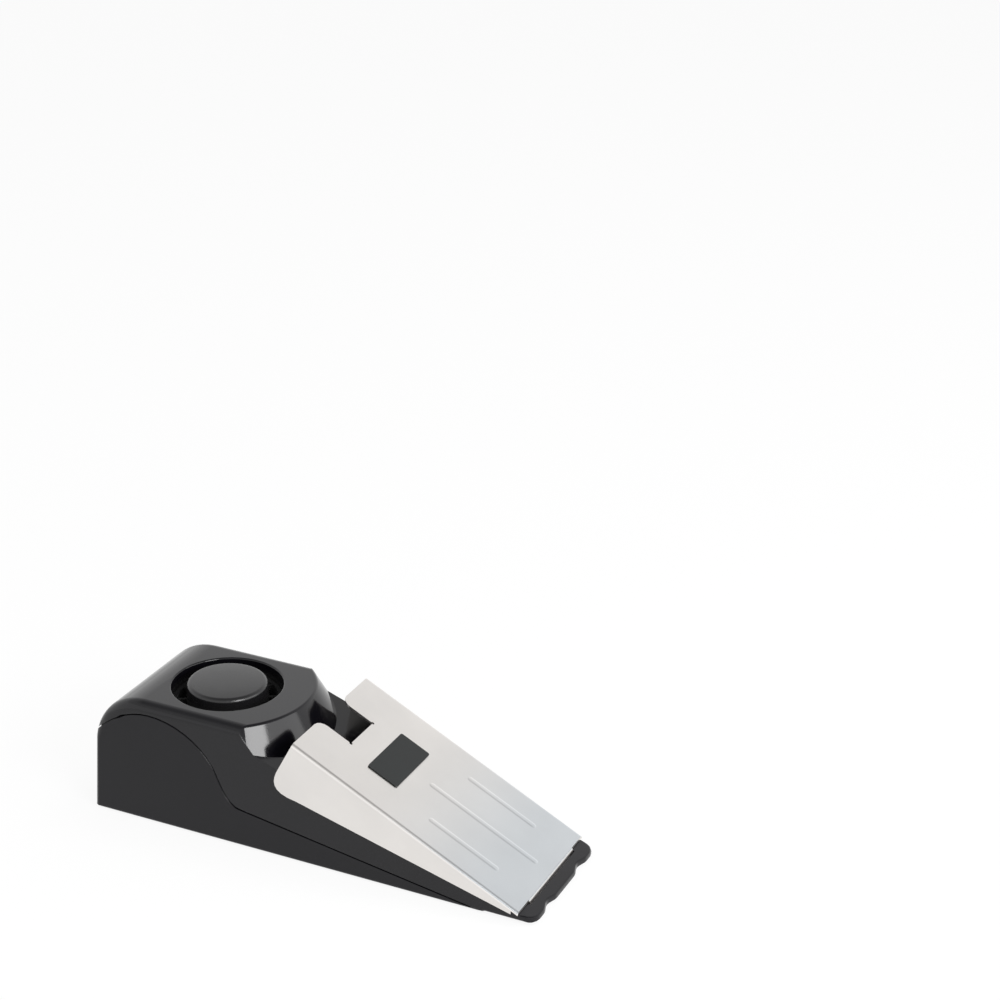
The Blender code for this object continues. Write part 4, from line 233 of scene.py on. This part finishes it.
def grain_group():
    """Fine unevenness: a mottled colour, a varying roughness and a bumpy normal."""
    group = bpy.data.node_groups.new("surface_grain", "ShaderNodeTree")
    face = group.interface
    for name, kind in (
        ("Colour", "NodeSocketColor"),
        ("Mottle", "NodeSocketFloat"),
        ("Roughness", "NodeSocketFloat"),
        ("Spread", "NodeSocketFloat"),
        ("Cloud Scale", "NodeSocketFloat"),
        ("Grain Scale", "NodeSocketFloat"),
        ("Depth", "NodeSocketFloat"),
        ("Stretch", "NodeSocketVector"),
    ):
        face.new_socket(name=name, in_out="INPUT", socket_type=kind)
    for name, kind in (
        ("Colour", "NodeSocketColor"),
        ("Roughness", "NodeSocketFloat"),
        ("Normal", "NodeSocketVector"),
    ):
        face.new_socket(name=name, in_out="OUTPUT", socket_type=kind)
    nodes, link = group.nodes, group.links.new
    given = nodes.new("NodeGroupInput")
    result = nodes.new("NodeGroupOutput")
    place = nodes.new("ShaderNodeTexCoord")
    stretch = nodes.new("ShaderNodeMapping")
    clouds = nodes.new("ShaderNodeTexNoise")
    clouds.inputs["Detail"].default_value = 4
    grain = nodes.new("ShaderNodeTexNoise")
    grain.inputs["Detail"].default_value = 3
    link(place.outputs["Object"], stretch.inputs["Vector"])
    link(given.outputs["Stretch"], stretch.inputs["Scale"])
    link(place.outputs["Object"], clouds.inputs["Vector"])
    link(given.outputs["Cloud Scale"], clouds.inputs["Scale"])
    link(stretch.outputs["Vector"], grain.inputs["Vector"])
    link(given.outputs["Grain Scale"], grain.inputs["Scale"])
    centred = nodes.new("ShaderNodeMath")
    centred.operation = "SUBTRACT"
    centred.inputs[1].default_value = NOISE_MIDDLE
    link(clouds.outputs["Fac"], centred.inputs[0])
    shift = nodes.new("ShaderNodeMath")
    shift.operation = "MULTIPLY_ADD"
    link(centred.outputs[0], shift.inputs[0])
    link(given.outputs["Spread"], shift.inputs[1])
    link(given.outputs["Roughness"], shift.inputs[2])
    link(shift.outputs[0], result.inputs["Roughness"])
    tone = nodes.new("ShaderNodeMath")
    tone.operation = "MULTIPLY_ADD"
    tone.inputs[2].default_value = 1
    link(centred.outputs[0], tone.inputs[0])
    link(given.outputs["Mottle"], tone.inputs[1])
    tint = nodes.new("ShaderNodeVectorMath")
    tint.operation = "SCALE"
    link(given.outputs["Colour"], tint.inputs[0])
    link(tone.outputs[0], tint.inputs["Scale"])
    link(tint.outputs["Vector"], result.inputs["Colour"])
    bump = nodes.new("ShaderNodeBump")
    bump.inputs["Distance"].default_value = GRAIN_HEIGHT
    link(grain.outputs["Fac"], bump.inputs["Height"])
    link(given.outputs["Depth"], bump.inputs["Strength"])
    link(bump.outputs["Normal"], result.inputs["Normal"])
    return group


surface_grain = grain_group()


def add_grain(material, mottle, spread, clouds, grain, depth, stretch=(1, 1, 1)):
    """Gives a finish its fine unevenness around the shader's own colour and roughness."""
    tree = material.node_tree
    shader = tree.nodes["Principled BSDF"]
    grained = tree.nodes.new("ShaderNodeGroup")
    grained.node_tree = surface_grain
    grained.inputs["Colour"].default_value = shader.inputs["Base Color"].default_value
    grained.inputs["Mottle"].default_value = mottle
    grained.inputs["Roughness"].default_value = shader.inputs["Roughness"].default_value
    grained.inputs["Spread"].default_value = spread
    grained.inputs["Cloud Scale"].default_value = clouds
    grained.inputs["Grain Scale"].default_value = grain
    grained.inputs["Depth"].default_value = depth
    grained.inputs["Stretch"].default_value = stretch
    tree.links.new(grained.outputs["Colour"], shader.inputs["Base Color"])
    tree.links.new(grained.outputs["Roughness"], shader.inputs["Roughness"])
    tree.links.new(grained.outputs["Normal"], shader.inputs["Normal"])
    return grained


lower_abs = new_finish("black_abs_lower", colour=(0.0032, 0.0030, 0.0046), roughness=0.30, ior=1.37)
add_grain(lower_abs, mottle=0.3, spread=0.08, clouds=90, grain=2600, depth=0.10)
seamed = mark_seam(merged_copy("lower_housing"))
lower_shell = finished_piece("lower_shell", seamed, lower_abs, "casing",
                             chamfer=SEAM_CHAMFER)
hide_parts("lower_housing")

# The upper shell: the raised block with its siren well and conical front, then the ramp and the nose.
# It is the same black ABS, polished a little brighter, so that the block's front mirrors what stands near.
WELL_X = -0.03975
WELL_REACH = 0.0180
WELL_SHADE_FROM, WELL_SHADE_TO = 0.0402, 0.0375
# The well's painted shade: a near-black colour laid down inside it, together with a high roughness.
WELL_ROUGHNESS = (0.9, 0.9, 0.9, 1)
WELL_PAINTED_SHADE = (0.0005, 0.0005, 0.0006, 1)
CONE_UPWARD_FROM, CONE_UPWARD_TO = 0.45, 0.53
CONE_FORWARD = 0.3
CONE_FOOT_BELOW = 0.039


def on_cone(face):
    """Whether a face belongs to the conical front of the raised block."""
    leaning = CONE_UPWARD_FROM < face.normal.z < CONE_UPWARD_TO
    return leaning and face.normal.x > CONE_FORWARD and face.calc_center_median().x < 0


def cone_foot(bm):
    """The edges along the foot of the cone, which keep its mirror image clear of the ramp's."""
    foot = set()
    for edge in bm.edges:
        low = max(vert.co.z for vert in edge.verts) < CONE_FOOT_BELOW
        if low and sum(on_cone(face) for face in edge.link_faces) == 1:
            foot.add(edge)
    return foot


def well_group():
    """A mask of the siren's well, from 0 at its rim to 1 down inside it, which places the painted shade
    there.
    """
    group = bpy.data.node_groups.new("siren_well", "ShaderNodeTree")
    group.interface.new_socket(name="Depth", in_out="OUTPUT", socket_type="NodeSocketFloat")
    nodes, link = group.nodes, group.links.new
    result = nodes.new("NodeGroupOutput")
    place = nodes.new("ShaderNodeTexCoord")
    apart = nodes.new("ShaderNodeVectorMath")
    apart.operation = "SUBTRACT"
    apart.inputs[1].default_value = (WELL_X, 0, 0)
    level = nodes.new("ShaderNodeVectorMath")
    level.operation = "MULTIPLY"
    level.inputs[1].default_value = (1, 1, 0)
    radius = nodes.new("ShaderNodeVectorMath")
    radius.operation = "LENGTH"
    inside = nodes.new("ShaderNodeMath")
    inside.operation = "LESS_THAN"
    inside.inputs[1].default_value = WELL_REACH
    height = nodes.new("ShaderNodeSeparateXYZ")
    depth = nodes.new("ShaderNodeMapRange")
    depth.inputs["From Min"].default_value = WELL_SHADE_FROM
    depth.inputs["From Max"].default_value = WELL_SHADE_TO
    both = nodes.new("ShaderNodeMath")
    both.operation = "MULTIPLY"
    link(place.outputs["Object"], apart.inputs[0])
    link(apart.outputs[0], level.inputs[0])
    link(level.outputs[0], radius.inputs[0])
    link(radius.outputs["Value"], inside.inputs[0])
    link(place.outputs["Object"], height.inputs[0])
    link(height.outputs["Z"], depth.inputs["Value"])
    link(inside.outputs[0], both.inputs[0])
    link(depth.outputs["Result"], both.inputs[1])
    link(both.outputs[0], result.inputs["Depth"])
    return group


siren_well = well_group()


def dull_and_shade_well(material, grained):
    """Leaves a finish unpolished down in the siren's well, with painted shade that darkens its colour
    there.
    """
    tree = material.node_tree
    shader = tree.nodes["Principled BSDF"]
    well = tree.nodes.new("ShaderNodeGroup")
    well.node_tree = siren_well
    for kind, socket, dull_and_shade in (
        ("Roughness", "Roughness", WELL_ROUGHNESS),
        ("Colour", "Base Color", WELL_PAINTED_SHADE),
    ):
        mix = tree.nodes.new("ShaderNodeMix")
        mix.data_type = "RGBA"
        mix.inputs["B"].default_value = dull_and_shade
        tree.links.new(well.outputs["Depth"], mix.inputs["Factor"])
        tree.links.new(grained.outputs[kind], mix.inputs["A"])
        tree.links.new(mix.outputs["Result"], shader.inputs[socket])


upper_abs = new_finish("black_abs_upper", colour=(0.0034, 0.0032, 0.0046), roughness=0.12, ior=1.42)
upper_grain = add_grain(upper_abs, mottle=0.3, spread=0.08, clouds=90, grain=2600, depth=0.10)
# Painted shade: the upper shell's colour is darkened down in the siren's well, where shade falls.
dull_and_shade_well(upper_abs, upper_grain)
seamed = mark_seam(merged_copy("upper_housing"))
upper_shell = finished_piece("upper_shell", seamed, upper_abs, "casing",
                             chamfer=SEAM_CHAMFER, kept_sharp=cone_foot(seamed))
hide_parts("upper_housing")

# The siren's grille: a domed cap on twelve ribs inside a ring, through which the sound comes out.
# It is one moulding of black ABS that drops into the well and rests on the lip round its floor.
grille_abs = new_finish("black_abs_grille", colour=(0.0090, 0.0088, 0.0095), roughness=0.24, ior=1.48)
grille_grain = add_grain(grille_abs, mottle=0.3, spread=0.08, clouds=110, grain=2600, depth=0.10)
# Painted shade: the grille's ring and ribs are darkened down in the well, where shade falls.
dull_and_shade_well(grille_abs, grille_grain)
grille = finished_piece("siren_cap", merged_copy("siren_grille"), grille_abs, "casing")
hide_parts("siren_grille")

# The sounder under the well: a thin brass disc with a ceramic layer, sealed by a ring of grey foam.
# A black plastic cup clamps both to the underside of the well, held by two zinc plated screws.
def dress(material, *names):
    """Gives CAD nodes that keep their shape a better finish."""
    for name in names:
        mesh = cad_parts[name].data
        mesh.materials.clear()
        mesh.materials.append(material)


foam = new_finish("grey_foam", colour=(0.055, 0.055, 0.06), roughness=0.95)
add_grain(foam, mottle=0.8, spread=0.05, clouds=400, grain=1500, depth=1.0)
brass = new_finish("rolled_brass", colour=(0.72, 0.50, 0.20), roughness=0.28, metallic=1.0)
add_grain(brass, mottle=0.15, spread=0.12, clouds=120, grain=2500, depth=0.10, stretch=(0.2, 1, 1))
ceramic = new_finish("white_ceramic", colour=(0.74, 0.72, 0.66), roughness=0.5)
add_grain(ceramic, mottle=0.1, spread=0.05, clouds=200, grain=2500, depth=0.15)
inner_black = new_finish("matte_black_plastic", colour=(0.012, 0.012, 0.013), roughness=0.55)
add_grain(inner_black, mottle=0.3, spread=0.10, clouds=150, grain=2200, depth=0.35)
zinc = new_finish("zinc_plated_steel", colour=(0.56, 0.56, 0.57), roughness=0.30, metallic=1.0)
add_grain(zinc, mottle=0.20, spread=0.15, clouds=300, grain=3000, depth=0.15)
dress(foam, "foam_ring")
dress(brass, "piezo_disc")
dress(ceramic, "piezo_ceramic")
dress(inner_black, "sounder_cup")
dress(zinc, "sounder_screw_1", "sounder_screw_2")

# The circuit board: a green lacquered glass fibre board, screwed to four posts of the lower shell.
# It carries the ferrite core with its copper winding, the chip, the transistor, the capacitor and four
# resistors, which drive the siren.
board_green = new_finish("solder_mask", colour=(0.015, 0.11, 0.045), roughness=0.35)
add_grain(board_green, mottle=0.3, spread=0.10, clouds=140, grain=2000, depth=0.2)
ferrite = new_finish("ferrite", colour=(0.045, 0.045, 0.05), roughness=0.6)
add_grain(ferrite, mottle=0.4, spread=0.10, clouds=500, grain=3000, depth=0.4)
copper = new_finish("enamelled_copper", colour=(0.60, 0.23, 0.10), roughness=0.28, metallic=1.0)
add_grain(copper, mottle=0.25, spread=0.10, clouds=200, grain=4500, depth=0.8, stretch=(0.05, 0.05, 1))
sleeve = new_finish("blue_sleeve", colour=(0.02, 0.035, 0.16), roughness=0.32)
add_grain(sleeve, mottle=0.15, spread=0.06, clouds=200, grain=2500, depth=0.1)
tan_coat = new_finish("tan_lacquer", colour=(0.50, 0.34, 0.19), roughness=0.42)
add_grain(tan_coat, mottle=0.2, spread=0.08, clouds=300, grain=2500, depth=0.15)
dress(board_green, "circuit_board")
dress(zinc, "board_screw_1", "board_screw_2", "board_screw_3", "board_screw_4")
dress(ferrite, "coil_core")
dress(copper, "coil_winding")
dress(inner_black, "alarm_chip", "transistor")
dress(sleeve, "capacitor")
dress(tan_coat, "resistor_1", "resistor_2", "resistor_3", "resistor_4")

# The power switch: a slide switch in a zinc plated case, fixed behind the rear wall.
# Its matte plastic knob stands out through a slot and slides sideways in a dish of that wall.
knob_black = new_finish("matte_knob", colour=(0.020, 0.020, 0.022), roughness=0.45)
add_grain(knob_black, mottle=0.3, spread=0.08, clouds=200, grain=2500, depth=0.3)
dress(zinc, "power_switch")
dress(knob_black, "power_knob")

# The battery: a 9 V block in a painted steel can, lying in its bay, with two plated terminals on its end.
# A black snap connector presses on to the terminals.
can = new_finish("battery_can", colour=(0.10, 0.10, 0.11), roughness=0.32, metallic=0.4)
add_grain(can, mottle=0.2, spread=0.10, clouds=80, grain=2500, depth=0.1)
dress(can, "battery")
dress(zinc, "terminal_round", "terminal_hex")
dress(inner_black, "battery_snap")

# The battery cover: a black ABS lid in the underside, hinged at its front and latched at its rear, with
# the lower shell's finish. The foam strip glued inside it holds the battery still.
dress(foam, "battery_foam")
cover = finished_piece("battery_door", merged_copy("battery_cover"), lower_abs, "cover")
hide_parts("battery_cover")

# The trigger switch under the plate: a black insulating block that holds two springy brass leaves.
# A plunger of natural white plastic slides in the ramp and pushes the upper leaf down on to the lower one.
natural_white = new_finish("natural_white_plastic", colour=(0.70, 0.69, 0.64), roughness=0.42)
add_grain(natural_white, mottle=0.08, spread=0.08, clouds=200, grain=2500, depth=0.15)
dress(natural_white, "trigger_plunger")
dress(inner_black, "leaf_block")
dress(brass, "leaf_upper", "leaf_lower")

# The two return springs: coils of drawn steel wire that stand in pockets of the ramp and lift the plate.
wire_steel = new_finish("drawn_wire", colour=(0.60, 0.60, 0.61), roughness=0.26, metallic=1.0)
add_grain(wire_steel, mottle=0.15, spread=0.10, clouds=400, grain=3500, depth=0.2)
SPRING_Y = 0.012
for side, place_y in (("left", SPRING_Y), ("right", -SPRING_Y)):
    coil = merged_copy("return_spring_" + side)
    spring = finished_piece("lift_spring_" + side, coil, wire_steel, "casing")
    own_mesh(spring)
    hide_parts("return_spring_" + side)

# The leads: stranded copper wire in red or black plastic insulation, soldered at both ends.
# They join the battery snap, the power switch, the trigger switch and the sounder to the board.
red_sleeve = new_finish("red_insulation", colour=(0.42, 0.012, 0.012), roughness=0.38)
add_grain(red_sleeve, mottle=0.15, spread=0.08, clouds=300, grain=2500, depth=0.15)
black_sleeve = new_finish("black_insulation", colour=(0.012, 0.012, 0.013), roughness=0.38)
add_grain(black_sleeve, mottle=0.3, spread=0.08, clouds=300, grain=2500, depth=0.15)
dress(red_sleeve, "battery_lead_red", "piezo_lead_red", "power_lead_red", "trigger_lead_red")
dress(black_sleeve, "battery_lead_black", "piezo_lead_black", "power_lead_black", "trigger_lead_black")

# The trigger plate: 0.7 mm stainless sheet, bent down at both sides, satin, with three pressed beads.
# Its top carries a painted reflection: it keeps the steel's own warm colour near the label and is painted
# cooler and darker towards the nose, where its hinge tongue hooks in.
# Painted reflection on the top: it fades from the warm steel colour to a cooler, darker one towards the
# nose.
PAINTED_COOL_FROM_X, PAINTED_COOL_TO_X = 0.018, 0.066
TOP_FACING = 0.5
WARM_STEEL = (0.76, 0.735, 0.71, 1)
PAINTED_COOL_REFLECTION = (0.592, 0.617, 0.638, 1)
satin_steel = new_finish("satin_stainless", colour=(0.76, 0.745, 0.725), roughness=0.30, metallic=1.0)
brushed = add_grain(satin_steel, mottle=0.18, spread=0.06, clouds=45, grain=3000, depth=0.10,
                    stretch=(0.12, 1, 1))
tree = satin_steel.node_tree
place = tree.nodes.new("ShaderNodeTexCoord")
along = tree.nodes.new("ShaderNodeSeparateXYZ")
painted_reflection_fade = tree.nodes.new("ShaderNodeMapRange")
painted_reflection_fade.interpolation_type = "SMOOTHSTEP"
painted_reflection_fade.inputs["From Min"].default_value = PAINTED_COOL_FROM_X
painted_reflection_fade.inputs["From Max"].default_value = PAINTED_COOL_TO_X
# Painted reflection: this mix lays the cooler, darker colour on upward-facing faces only; the bent-down
# sides keep the warm colour.
tone = tree.nodes.new("ShaderNodeMix")
tone.data_type = "RGBA"
tone.inputs["A"].default_value = WARM_STEEL
tone.inputs["B"].default_value = PAINTED_COOL_REFLECTION
facing = tree.nodes.new("ShaderNodeSeparateXYZ")
reflection_on_top = tree.nodes.new("ShaderNodeMath")
reflection_on_top.operation = "GREATER_THAN"
reflection_on_top.inputs[1].default_value = TOP_FACING
share = tree.nodes.new("ShaderNodeMath")
share.operation = "MULTIPLY"
tree.links.new(place.outputs["Object"], along.inputs[0])
tree.links.new(along.outputs["X"], painted_reflection_fade.inputs["Value"])
tree.links.new(place.outputs["Normal"], facing.inputs[0])
tree.links.new(facing.outputs["Z"], reflection_on_top.inputs[0])
tree.links.new(painted_reflection_fade.outputs["Result"], share.inputs[0])
tree.links.new(reflection_on_top.outputs[0], share.inputs[1])
tree.links.new(share.outputs[0], tone.inputs["Factor"])
tree.links.new(tone.outputs["Result"], brushed.inputs["Colour"])
plate = finished_piece("steel_plate", merged_copy("trigger_plate"), satin_steel, "plate")
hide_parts("trigger_plate")

# The label: a plain rectangle of thin black foil with a matt lacquer, glued across the plate's top.
# It turns with the plate.
label_foil = new_finish("black_foil", colour=(0.011, 0.0125, 0.0125), roughness=0.46, ior=1.40)
add_grain(label_foil, mottle=0.2, spread=0.08, clouds=200, grain=2500, depth=0.1)
label = finished_piece("blank_label", merged_copy("plate_label"), label_foil, "plate")
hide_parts("plate_label")

# The casing screws: four zinc plated screws, each in a recess of the underside.
# They pull the lower shell against the upper one.
dress(zinc, "housing_screw_1", "housing_screw_2", "housing_screw_3", "housing_screw_4")

# The grip pads: soft black rubber, glued under the casing so that the wedge doesn't slide on the floor.
# One lies under the nose and a strip along each side.
grip_rubber = new_finish("grip_rubber", colour=(0.014, 0.014, 0.015), roughness=0.80)
add_grain(grip_rubber, mottle=0.4, spread=0.08, clouds=250, grain=1800, depth=0.8)
dress(grip_rubber, "grip_pad_front", "grip_strip_left", "grip_strip_right")
